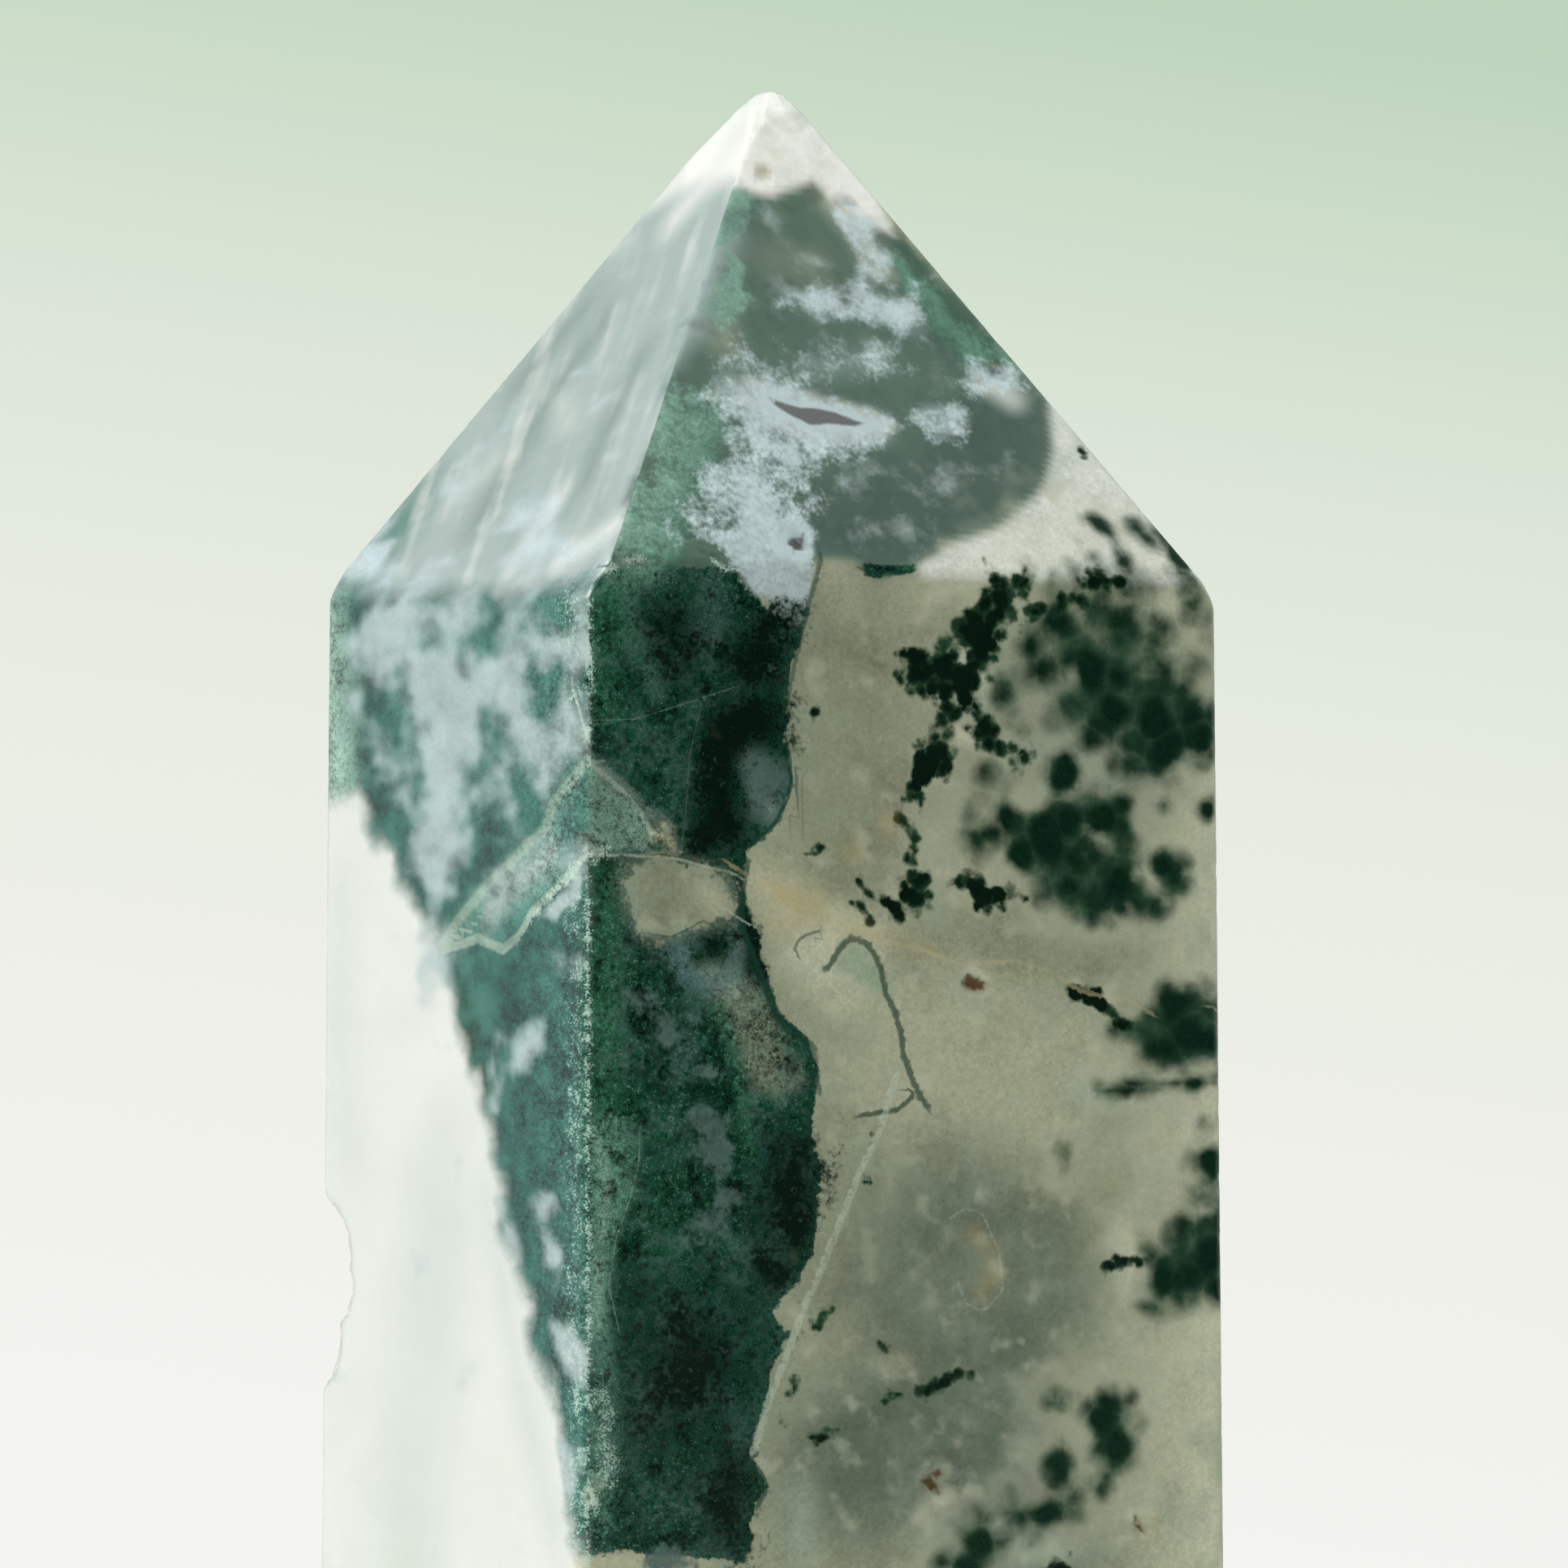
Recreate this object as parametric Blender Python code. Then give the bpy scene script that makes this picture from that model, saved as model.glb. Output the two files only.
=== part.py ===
# A hand-polished tower of tree agate: one stone with four ground walls, four
# sloping flats that meet in a blunt tip, and a sawn base that it stands on.
# Sizes are in millimetres and become metres as they are used. +Z is up, the
# origin is the middle of the base, and the wall called front faces -Y.

import math

import bmesh
import bpy
from mathutils import Matrix, Vector

MM = 0.001

# Driving dimensions
BASE_HALF_WIDTH = 13.3
TIP_HEIGHT = 88.05
TIP_CENTRE = (0.25, 0.25)
TIP_RADIUS = 1.2
ARRIS_ROUNDING = 0.5
SLOPE_ROUNDING = 0.2
ROUNDING_STEPS = 4
UPRIGHT = 0.9
ROUGH_BLOCK_WIDTH = 40.0
ROUGH_BLOCK_HEIGHT = 95.0

# The four sides, each with a wall and a slope above it. "lean" is how far the wall
# leans in for each mm of height. "shoulder" is the height at which the slope would
# meet an upright wall, "rise" its climb for each mm inwards, and "drift" its climb
# for each mm along +X and +Y, because a hand-ground slope is never quite level.
SIDES = {
    "front": {"out": (0, -1), "lean": 0.0066, "shoulder": 69.05, "rise": 1.50, "drift": (-0.03, 0)},
    "left": {"out": (-1, 0), "lean": 0.0073, "shoulder": 67.95, "rise": 1.56, "drift": (0, 0.008)},
    "right": {"out": (1, 0), "lean": 0.0076, "shoulder": 67.55, "rise": 1.60, "drift": (0, 0)},
    "back": {"out": (0, 1), "lean": 0.0031, "shoulder": 69.70, "rise": 1.53, "drift": (0, 0)},
}

# The blunt tip is ground as rings of small flats that all touch one ball: how many
# degrees each ring's flats face upwards, and how many flats it has.
TIP_RINGS = ((68, 8), (50, 12))

# Chips broken out of the arrises: centre and radii of each egg-shaped scoop.
CHIPS = {
    "notch_top": ((-14.8, 14.2, 43.7), (3.2, 5.0, 3.0)),
    "notch_middle": ((-14.6, 14.5, 42.6), (3.2, 5.3, 2.6)),
    "notch_foot": ((-14.7, 14.4, 40.6), (2.7, 4.4, 3.1)),
    "shoulder_flake": ((-11.1, -13.0, 70.1), (1.1, 0.5, 0.42)),
    "shoulder_corner": ((-12.45, -13.05, 69.25), (0.55, 0.5, 0.6)),
    "arris_slit": ((-13.05, -12.75, 64.3), (0.36, 0.5, 1.25)),
    "arris_nick_high": ((-13.1, -12.95, 66.4), (0.35, 0.3, 0.5)),
    "arris_nick_middle": ((-13.1, -13.05, 52.2), (0.36, 0.3, 0.42)),
    "arris_nick_low": ((-13.15, -13.2, 35.8), (0.5, 0.42, 0.62)),
    "back_arris_flake": ((13.9, 13.9, 22.5), (1.9, 1.7, 3.4)),
    "right_arris_nick": ((13.2, -13.3, 17.0), (0.6, 0.6, 1.3)),
    "foot_flake": ((-13.9, -13.7, 0.6), (1.6, 1.7, 1.5)),
    "foot_nick": ((6.0, 13.9, 0.2), (2.2, 1.0, 1.0)),
}
CHIP_SUBDIVISIONS = 3

# Small pits in the flats, given in the same way.
PITS = {
    "front_pit_high": ((2.66, -12.94, 54.41), (0.55, 0.4, 0.42)),
    "front_pit_low": ((1.12, -13.06, 35.95), (0.75, 0.5, 0.7)),
    "front_pit_right": ((9.42, -13.07, 34.19), (0.42, 0.35, 0.52)),
    "front_scar": ((3.13, -13.0, 45.2), (0.95, 0.16, 1.6)),
    "front_pinhole": ((-1.1, -12.86, 66.17), (0.28, 0.22, 0.28)),
    "front_foot_pit": ((-4.6, -13.2, 12.4), (0.6, 0.4, 0.5)),
    "slope_eye": ((-4.11, -12.28, 70.71), (0.36, 0.3, 0.5)),
    "slope_pit_tip": ((-1.43, -2.87, 84.74), (0.42, 0.3, 0.3)),
    "slope_pit_high": ((1.72, -3.5, 83.77), (0.55, 0.3, 0.28)),
    "slope_pit_right": ((6.02, -7.75, 77.27), (0.4, 0.35, 0.45)),
    "right_pit_high": ((12.84, 3.4, 58.2), (0.4, 0.65, 0.5)),
    "right_pit_middle": ((12.99, -4.9, 39.5), (0.35, 0.5, 0.7)),
    "right_pit_low": ((13.2, 5.6, 14.0), (0.4, 0.5, 0.45)),
    "left_pit_low": ((-13.18, 4.2, 15.5), (0.4, 0.7, 0.5)),
    "back_pit_high": ((-3.2, 13.1, 52.0), (0.7, 0.4, 0.55)),
    "back_pit_middle": ((4.8, 13.17, 33.0), (0.5, 0.35, 0.7)),
    "back_pit_low": ((-6.5, 13.26, 9.0), (0.45, 0.35, 0.45)),
    "back_slope_pit": ((-2.6, 8.6, 76.6), (0.5, 0.4, 0.4)),
}
PIT_SUBDIVISIONS = 2

# Open cracks: the points that each one passes on the surface. Every stretch is one
# long scoop, CRACK_WIDTH wide and CRACK_DEPTH deep.
CRACKS = {
    "ledge_left": ((-12.89, 0.95, 55.45), (-12.87, -6.45, 58.85), (-12.84, -12.45, 62.35)),
    "ledge_front": ((-12.45, -12.89, 62.3), (-10.6, -12.9, 60.75), (-9.43, -12.9, 59.9)),
}
CRACK_WIDTH = 0.5
CRACK_DEPTH = 0.22
CRACK_OVERLAP = 1.15

STONE_COLOUR = (0.43, 0.50, 0.44, 1.0)
STONE_ROUGHNESS = 0.22
SMOOTHING_ANGLE = 30


def clear_scene():
    for thing in list(bpy.data.objects):
        bpy.data.objects.remove(thing)


def new_collection(name):
    collection = bpy.data.collections.new(name)
    bpy.context.scene.collection.children.link(collection)
    return collection


def new_object(name, bm, collection):
    mesh = bpy.data.meshes.new(name)
    bm.to_mesh(mesh)
    bm.free()
    thing = bpy.data.objects.new(name, mesh)
    collection.objects.link(thing)
    return thing


def rough_block():
    """A sawn block that stands on z = 0 and is larger than the finished tower."""
    bm = bmesh.new()
    bmesh.ops.create_cube(bm, size=1.0)
    size = Vector((ROUGH_BLOCK_WIDTH, ROUGH_BLOCK_WIDTH, ROUGH_BLOCK_HEIGHT)) * MM
    bmesh.ops.translate(bm, vec=(0, 0, 0.5), verts=bm.verts[:])
    bmesh.ops.scale(bm, vec=size, verts=bm.verts[:])
    return bm


def grind_flat(bm, point, normal):
    """Takes away what lies outside a plane and closes the cut with one face."""
    cut = bmesh.ops.bisect_plane(
        bm,
        geom=bm.verts[:] + bm.edges[:] + bm.faces[:],
        plane_co=Vector(point) * MM,
        plane_no=Vector(normal),
        clear_outer=True,
    )
    rim = [part for part in cut["geom_cut"] if isinstance(part, bmesh.types.BMEdge)]
    if rim:
        bmesh.ops.contextual_create(bm, geom=rim)


def grind_side(bm, side):
    out = Vector((*side["out"], 0))
    drift = Vector((*side["drift"], 0))
    up = Vector((0, 0, 1))
    foot = out * BASE_HALF_WIDTH
    grind_flat(bm, foot, out + up * side["lean"])
    grind_flat(bm, foot + up * side["shoulder"], up + out * side["rise"] - drift)


def bevel(bm, edges, width):
    bmesh.ops.bevel(
        bm,
        geom=edges,
        offset=width * MM,
        offset_type="OFFSET",
        segments=ROUNDING_STEPS,
        profile=0.5,
        affect="EDGES",
        material=-1,
    )


def round_arrises(bm):
    """The walls' arrises and the foot are rounded first, then the slopes' crisp edges."""
    upright_or_foot = []
    for edge in bm.edges:
        low, high = sorted(vert.co.z for vert in edge.verts)
        if high - low > UPRIGHT * edge.calc_length() or high < MM:
            upright_or_foot.append(edge)
    bevel(bm, upright_or_foot, ARRIS_ROUNDING)
    crisp = [edge for edge in bm.edges if edge.calc_face_angle() > math.radians(SMOOTHING_ANGLE)]
    bevel(bm, crisp, SLOPE_ROUNDING)


def blunt_tip(bm):
    ball = Vector((*TIP_CENTRE, TIP_HEIGHT - TIP_RADIUS))
    grind_flat(bm, (*TIP_CENTRE, TIP_HEIGHT), (0, 0, 1))
    for facing_up, count in TIP_RINGS:
        level = math.cos(math.radians(facing_up))
        height = math.sin(math.radians(facing_up))
        for k in range(count):
            turn = 2 * math.pi * (k + 0.5) / count
            normal = Vector((level * math.cos(turn), level * math.sin(turn), height))
            grind_flat(bm, ball + normal * TIP_RADIUS, normal)


def add_scoop(name, centre, radii, turn, subdivisions, cutters):
    """One egg-shaped cutter, turned by the matrix given."""
    bm = bmesh.new()
    bmesh.ops.create_icosphere(bm, subdivisions=subdivisions, radius=1.0)
    place = Matrix.Translation(Vector(centre) * MM)
    size = Matrix.Diagonal((*(Vector(radii) * MM), 1.0))
    bmesh.ops.transform(bm, matrix=place @ turn @ size, verts=bm.verts[:])
    cutter = new_object(name, bm, cutters)
    cutter.hide_render = True
    cutter.display_type = "WIRE"


def add_chips_and_pits(cutters):
    straight = Matrix.Identity(4)
    for name, (centre, radii) in CHIPS.items():
        add_scoop(name, centre, radii, straight, CHIP_SUBDIVISIONS, cutters)
    for name, (centre, radii) in PITS.items():
        add_scoop(name, centre, radii, straight, PIT_SUBDIVISIONS, cutters)


def add_cracks(cutters):
    for name, points in CRACKS.items():
        for k, (start, end) in enumerate(zip(points, points[1:])):
            along = Vector(end) - Vector(start)
            middle = (Vector(start) + Vector(end)) / 2
            turn = along.to_track_quat("X", "Z").to_matrix().to_4x4()
            radii = (along.length / 2 * CRACK_OVERLAP, CRACK_DEPTH, CRACK_WIDTH / 2)
            add_scoop(f"{name}_{k + 1}", middle, radii, turn, PIT_SUBDIVISIONS, cutters)


def stone_material():
    material = bpy.data.materials.new("tree_agate")
    material.use_nodes = True
    shader = material.node_tree.nodes["Principled BSDF"]
    shader.inputs["Base Color"].default_value = STONE_COLOUR
    shader.inputs["Roughness"].default_value = STONE_ROUGHNESS
    shader.inputs["Metallic"].default_value = 0.0
    return material


def build_tower():
    clear_scene()
    stone = new_collection("tree_agate_tower")
    cutters = new_collection("cutters")

    bm = rough_block()
    for side in SIDES.values():
        grind_side(bm, side)
    round_arrises(bm)
    blunt_tip(bm)
    tower = new_object("agate_tower", bm, stone)
    tower.data.materials.append(stone_material())

    add_chips_and_pits(cutters)
    add_cracks(cutters)
    breaks = tower.modifiers.new("chips_pits_and_cracks", "BOOLEAN")
    breaks.operation = "DIFFERENCE"
    breaks.operand_type = "COLLECTION"
    breaks.collection = cutters
    tower.data.shade_smooth()
    tower.data.set_sharp_from_angle(angle=math.radians(SMOOTHING_ANGLE))


build_tower()
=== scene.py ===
import math

import bmesh
import bpy
import numpy as np
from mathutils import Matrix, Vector, noise
from mathutils.bvhtree import BVHTree


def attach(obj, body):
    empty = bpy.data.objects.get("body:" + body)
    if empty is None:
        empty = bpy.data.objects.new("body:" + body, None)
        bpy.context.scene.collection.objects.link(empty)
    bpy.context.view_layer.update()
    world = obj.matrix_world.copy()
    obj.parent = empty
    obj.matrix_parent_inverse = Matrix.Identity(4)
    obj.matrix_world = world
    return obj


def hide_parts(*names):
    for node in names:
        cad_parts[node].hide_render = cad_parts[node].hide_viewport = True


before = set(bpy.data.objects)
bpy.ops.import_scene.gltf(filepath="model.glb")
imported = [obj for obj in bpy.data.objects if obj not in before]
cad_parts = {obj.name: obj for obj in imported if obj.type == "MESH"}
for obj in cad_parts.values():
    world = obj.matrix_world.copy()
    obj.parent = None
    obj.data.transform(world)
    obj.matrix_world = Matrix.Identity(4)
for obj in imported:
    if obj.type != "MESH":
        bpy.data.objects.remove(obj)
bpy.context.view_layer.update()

mm = 0.001

# The stone's sharp shape, in mm, as the solid was ground. Each side has a wall that
# leans in and a slope above it, which climbs by "rise" for each mm inwards.
stone = {
    "half": 13.3,
    "front": {"out": (0, -1), "lean": 0.0066, "shoulder": 69.05, "rise": 1.50, "drift": (-0.03, 0)},
    "left": {"out": (-1, 0), "lean": 0.0073, "shoulder": 67.95, "rise": 1.56, "drift": (0, 0.008)},
    "right": {"out": (1, 0), "lean": 0.0076, "shoulder": 67.55, "rise": 1.60, "drift": (0, 0)},
    "back": {"out": (0, 1), "lean": 0.0031, "shoulder": 69.70, "rise": 1.53, "drift": (0, 0)},
    "tip": (0.25, 0.25),
    "slopeStretch": 1.2,  # mm along a slope for each mm of height
}
sideNames = ("front", "right", "back", "left")

# Where the photo was taken from. Its own pixels run to 1932 each way.
photo = {
    "side": 1932,
    "pixelsPerMm": 32.5,
    "distance": 450.0,
    "turn": 23.9,
    "axisX": 945.0,
    "eyeHeight": 61.8,
    "sensor": 36.0,
    "nearest": 0.01,
}


def photoFrame():
    turn = math.radians(photo["turn"])
    right = np.array((math.cos(turn), -math.sin(turn), 0.0))
    ahead = np.array((math.sin(turn), math.cos(turn), 0.0))
    sideways = (photo["side"] / 2 - photo["axisX"]) / photo["pixelsPerMm"]
    eye = right * sideways - ahead * photo["distance"] + np.array((0.0, 0.0, photo["eyeHeight"]))
    return right, ahead, eye


def flats(side):
    # normal and offset of a side's wall and of its slope
    facts = stone[side]
    out = np.array((*facts["out"], 0.0))
    up = np.array((0.0, 0.0, 1.0))
    wall = out + up * facts["lean"]
    slope = up + out * facts["rise"] - np.array((*facts["drift"], 0.0))
    return (wall, stone["half"]), (slope, facts["shoulder"] + facts["rise"] * stone["half"])


def wallPlace(side, z):
    # how far a side's wall stands from the middle at a height
    return stone["half"] - stone[side]["lean"] * z


def shoulderHeight(side, along):
    # the height of the line where a wall meets its slope; "along" is x or y on that side
    facts = stone[side]
    drift = facts["drift"][0] if facts["out"][0] == 0 else facts["drift"][1]
    return (facts["shoulder"] + drift * along) / (1 - facts["rise"] * facts["lean"])


def sheetPlace(side, x, y, z):
    # a place on the stone as if paper were wrapped round it: mm across from the front
    # left arris, and mm up, with the slopes laid flat
    mid = shoulderHeight(side, 0.0)
    low = min(z, mid)
    wide = wallPlace("left", low) + wallPlace("right", low)
    deep = wallPlace("front", low) + wallPlace("back", low)
    across = {
        "front": x + wallPlace("left", low),
        "left": -(y + wallPlace("front", low)),
        "right": wide + y + wallPlace("front", low),
        "back": -deep - (x + wallPlace("left", low)),
    }[side]
    return across, low + (z - low) * stone["slopeStretch"]


def photoPlaces(points):
    # the places on the sheet that pixels of the photo show
    right, ahead, eye = photoFrame()
    seen = [(side, flat) for side in ("front", "left") for flat in flats(side)]
    scale = photo["pixelsPerMm"] * photo["distance"]
    placed = []
    for px, py in points:
        ray = ahead + right * (px - photo["side"] / 2) / scale
        ray = ray + np.array((0.0, 0.0, photo["side"] / 2 - py)) / scale
        hits = [((offset - normal @ eye) / (normal @ ray), side) for side, (normal, offset) in seen]
        reach, side = max(hits)
        placed.append(sheetPlace(side, *(eye + ray * reach)))
    return np.array(placed)


# The mesh that takes up the solid's shape: columns on each side, and rows by height.
# Each band of rows is (height where it ends, number of rows).
grid = {
    "columns": {"front": 112, "left": 66, "right": 46, "back": 46},
    "edgeColumns": 9,
    "edgeWidth": 0.85,
    "rowBands": ((0.02, 1), (0.5, 5), (33.0, 62), (68.3, 140), (70.2, 22), (87.25, 72)),
    "capRows": 12,
    "capFacing": 0.5,  # a face that looks up or down by more than this is a cap
    "tubeSide": 0.4999,  # further out than this is on a side of the tube
    "sectionSteps": 50,  # sections kept for each mm of height
    "merge": 1e-4,
    "lift": 2.0,  # how far outside the stone the rays start
    "above": 100.0,
    "core": 3.2,  # rays near an arris fan out from this far inside it
    "coreShare": 0.6,
    "shoulderMiddle": 69.4,
    "shoulderSpread": 7.0,
    "cornerFade": 1.3,
    "footShrink": 0.985,
}


def rowHeights():
    heights, low = [0.0], 0.0
    for top, count in grid["rowBands"]:
        heights += [low + (top - low) * (k + 1) / count for k in range(count)]
        low = top
    return heights


def gridTube(rows):
    # an open square tube with its rows and columns, in units from -0.5 to 0.5
    bm = bmesh.new()
    bmesh.ops.create_cube(bm, size=1.0)
    caps = [face for face in bm.faces if abs(face.normal.z) > grid["capFacing"]]
    bmesh.ops.delete(bm, geom=caps, context="FACES")
    upright = [e for e in bm.edges if abs(e.verts[0].co.z - e.verts[1].co.z) > grid["capFacing"]]
    bmesh.ops.subdivide_edges(bm, edges=upright, cuts=rows - 1, use_grid_fill=True)
    for side, count in grid["columns"].items():
        out = Vector((*stone[side]["out"], 0))
        level = [
            e for e in bm.edges
            if abs(e.verts[0].co.z - e.verts[1].co.z) < grid["merge"]
            and all(v.co.dot(out) > grid["tubeSide"] for v in e.verts)
        ]
        bmesh.ops.subdivide_edges(bm, edges=level, cuts=count - 1, use_grid_fill=True)
    return bm


cornerCache = {}


def sectionCorners(z):
    # the four corners of the sharp stone at a height, front left first, turning right
    key = round(z * grid["sectionSteps"])
    if key in cornerCache:
        return cornerCache[key]
    z = key / grid["sectionSteps"]
    lines = []
    for side in sideNames:
        wall, slope = flats(side)
        reach = [(offset - normal[2] * z) / abs(normal[:2]).max() for normal, offset in (wall, slope)]
        normal, offset = wall if reach[0] < reach[1] else slope
        lines.append((normal[:2], offset - normal[2] * z))
    corners = []
    for k in range(4):
        (a, c), (b, d) = lines[k - 1], lines[k]
        corners.append(np.linalg.solve(np.array((a, b)), np.array((c, d))))
    cornerCache[key] = corners
    return corners


def unevenShare(side, share):
    # crowds the columns near the arrises
    edge = grid["edgeColumns"] / grid["columns"][side]
    width = grid["edgeWidth"] / (2 * stone["half"])
    return float(np.interp(share, (0, edge, 1 - edge, 1), (0, width, 1 - width, 1)))


def sideOf(co):
    # which side of the tube a vertex is on, and its share of the way along that side
    if co.y < -grid["tubeSide"]:
        return 0, co.x + 0.5
    if co.x > grid["tubeSide"]:
        return 1, co.y + 0.5
    if co.y > grid["tubeSide"]:
        return 2, 0.5 - co.x
    return 3, 0.5 - co.y


def solidTree():
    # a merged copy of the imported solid, in mm, to cast rays at
    bm = bmesh.new()
    bm.from_mesh(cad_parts["agate_tower"].data)
    bmesh.ops.scale(bm, vec=(1 / mm, 1 / mm, 1 / mm), verts=bm.verts[:])
    bmesh.ops.remove_doubles(bm, verts=bm.verts[:], dist=grid["merge"])
    tree = BVHTree.FromBMesh(bm)
    bm.free()
    return tree


def rowShift(side, along, share, height):
    # bends the rows near the shoulder so that one of them runs along it
    near = 1 - min(abs(height - grid["shoulderMiddle"]) / grid["shoulderSpread"], 1)
    corner = min(min(share, 1 - share) * 2 * stone["half"] / grid["cornerFade"], 1)
    return (shoulderHeight(side, along) - grid["shoulderMiddle"]) * near * corner


def alongSide(turn, share, z):
    corners = sectionCorners(z)
    return corners[turn] * (1 - share) + corners[(turn + 1) % 4] * share


def inwardHit(tree, place, z):
    # where a level ray towards the stone's core meets the solid
    corners = sectionCorners(z)
    middle = sum(corners) / 4
    reach = min(abs(corner - middle).min() for corner in corners)
    core = min(grid["core"], reach * grid["coreShare"])
    inner = middle + np.clip(place - middle, core - reach, reach - core)
    toward = inner - place
    toward = toward / np.linalg.norm(toward)
    start = place - toward * grid["lift"]
    hit = tree.ray_cast(Vector((*start, z)), Vector((*toward, 0)))[0]
    return hit or Vector((*place, z))


def shapeStone():
    # lays the tube's vertices on the solid, and notes for each one its place on the
    # sheet, its depth below the sharp stone and its distance from the nearest arris
    tree = solidTree()
    heights = rowHeights()
    rows = len(heights) - 1 + grid["capRows"]
    bm = gridTube(rows)
    number = bm.verts.layers.int.new("number")
    for vert in bm.verts:
        vert[number] = vert.index
    tip = Vector((*stone["tip"], 0))
    notes = [None] * len(bm.verts)
    ring = {}
    bottom, top = [], []
    for vert in sorted(bm.verts, key=lambda v: v.co.z):
        k = round((vert.co.z + 0.5) * rows)
        column = (round(vert.co.x, 5), round(vert.co.y, 5))
        turn, share = sideOf(vert.co)
        side = sideNames[turn]
        if k < len(heights):
            z = max(heights[k], grid["rowBands"][0][0])
            share = unevenShare(side, share)
            place = alongSide(turn, share, z)
            z += rowShift(side, place[0] if side in ("front", "back") else place[1], share, z)
            place = alongSide(turn, share, z)
            spot = inwardHit(tree, place, z)
            depth = math.dist(place, spot[:2])
            edge = min(share, 1 - share) * 2 * abs(place).max()
            if k == 0:
                spot = Vector((spot.x * grid["footShrink"], spot.y * grid["footShrink"], 0))
                bottom.append(vert)
            ring[column] = (spot, place)
        else:
            foot, place = ring[column]
            shrink = 1 - (k - len(heights) + 1) / (grid["capRows"] + 1)
            over = tip.lerp(Vector((foot.x, foot.y, 0)), shrink) + Vector((0, 0, grid["above"]))
            spot = tree.ray_cast(over, Vector((0, 0, -1)))[0]
            z, depth, edge = spot.z, 0.0, 1.0
            if k == rows:
                top.append(vert)
        notes[vert[number]] = (*sheetPlace(side, *place, z), depth, edge)
        vert.co = spot
    return bm, np.array(notes), bottom, top


# Soft relief left by the polishing wheel and by wear, all of it inwards, in mm.
relief = {
    "wave": 0.012, "waveSize": 7.0,
    "arrisWear": 0.05, "arrisReach": 0.45, "arrisSize": 0.7, "arrisNoise": (1.0, 2.0, 4), "arrisKept": 0.05,
    "chipRough": 0.13, "chipSize": 0.55, "chipFrom": 0.32, "chipTo": 0.7, "chipNoise": (0.8, 2.1, 5),
    "footKept": 0.3,
}


def ease(low, high, value):
    share = np.clip((value - low) / (high - low), 0, 1)
    return share * share * (3 - 2 * share)


def wearStone(bm, notes):
    bm.normal_update()
    number = bm.verts.layers.int["number"]
    broken = ease(relief["chipFrom"], relief["chipTo"], notes[:, 2])
    for vert in bm.verts:
        place = vert.co
        if place.z < relief["footKept"]:
            continue
        wave = noise.noise(place / relief["waveSize"]) * 0.5 + 0.5
        inward = wave * relief["wave"]
        nearArris = max(1 - notes[vert[number]][3] / relief["arrisReach"], 0)
        if nearArris > 0 and place.z < grid["rowBands"][-1][0]:
            nick = noise.fractal(place / relief["arrisSize"], *relief["arrisNoise"]) - relief["arrisKept"]
            inward += max(nick, 0) * relief["arrisWear"] * nearArris
        if broken[vert[number]] > 0:
            rough = noise.fractal(place / relief["chipSize"], *relief["chipNoise"]) * 0.5 + 0.5
            inward += rough * relief["chipRough"] * broken[vert[number]]
        vert.co = place - vert.normal * inward
    return broken


# Colours of the stone, as linear light.
palette = {
    "snow": (0.92, 0.92, 0.90),
    "milk": (0.80, 0.82, 0.80),
    "pearl": (0.62, 0.67, 0.66),
    "bright": (0.68, 0.69, 0.54),
    "pale": (0.49, 0.505, 0.375),
    "ash": (0.315, 0.345, 0.245),
    "smoke": (0.235, 0.275, 0.205),
    "sage": (0.36, 0.44, 0.36),
    "cream": (0.62, 0.60, 0.42),
    "honey": (0.50, 0.38, 0.16),
    "slate": (0.095, 0.165, 0.130),
    "deepSlate": (0.060, 0.100, 0.090),
    "frost": (0.46, 0.56, 0.575),
    "ice": (0.56, 0.67, 0.72),
    "haze": (0.088, 0.152, 0.142),
    "dusk": (0.152, 0.193, 0.148),
    "fog": (0.34, 0.43, 0.43),
    "mint": (0.30, 0.47, 0.39),
    "jade": (0.13, 0.30, 0.22),
    "edging": (0.20, 0.37, 0.30),
    "leaf": (0.028, 0.135, 0.072),
    "moss": (0.012, 0.085, 0.045),
    "deep": (0.005, 0.052, 0.027),
    "night": (0.0012, 0.010, 0.005),
    "teal": (0.020, 0.115, 0.095),
    "lagoon": (0.055, 0.20, 0.165),
    "blueGrey": (0.10, 0.17, 0.19),
    "umber": (0.120, 0.055, 0.004),
    "olive": (0.026, 0.078, 0.040),
    "core": (0.0022, 0.012, 0.0055),
    "sunkEdge": (0.034, 0.084, 0.050),
    "sunkCore": (0.0032, 0.024, 0.012),
    "slit": (0.12, 0.11, 0.115),
    "rim": (0.010, 0.055, 0.035),
    "gold": (0.58, 0.50, 0.29),
    "chalk": (0.56, 0.66, 0.55),
    "scuffed": (0.55, 0.72, 0.64),
    "wisp": (0.13, 0.20, 0.20),
}

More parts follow.
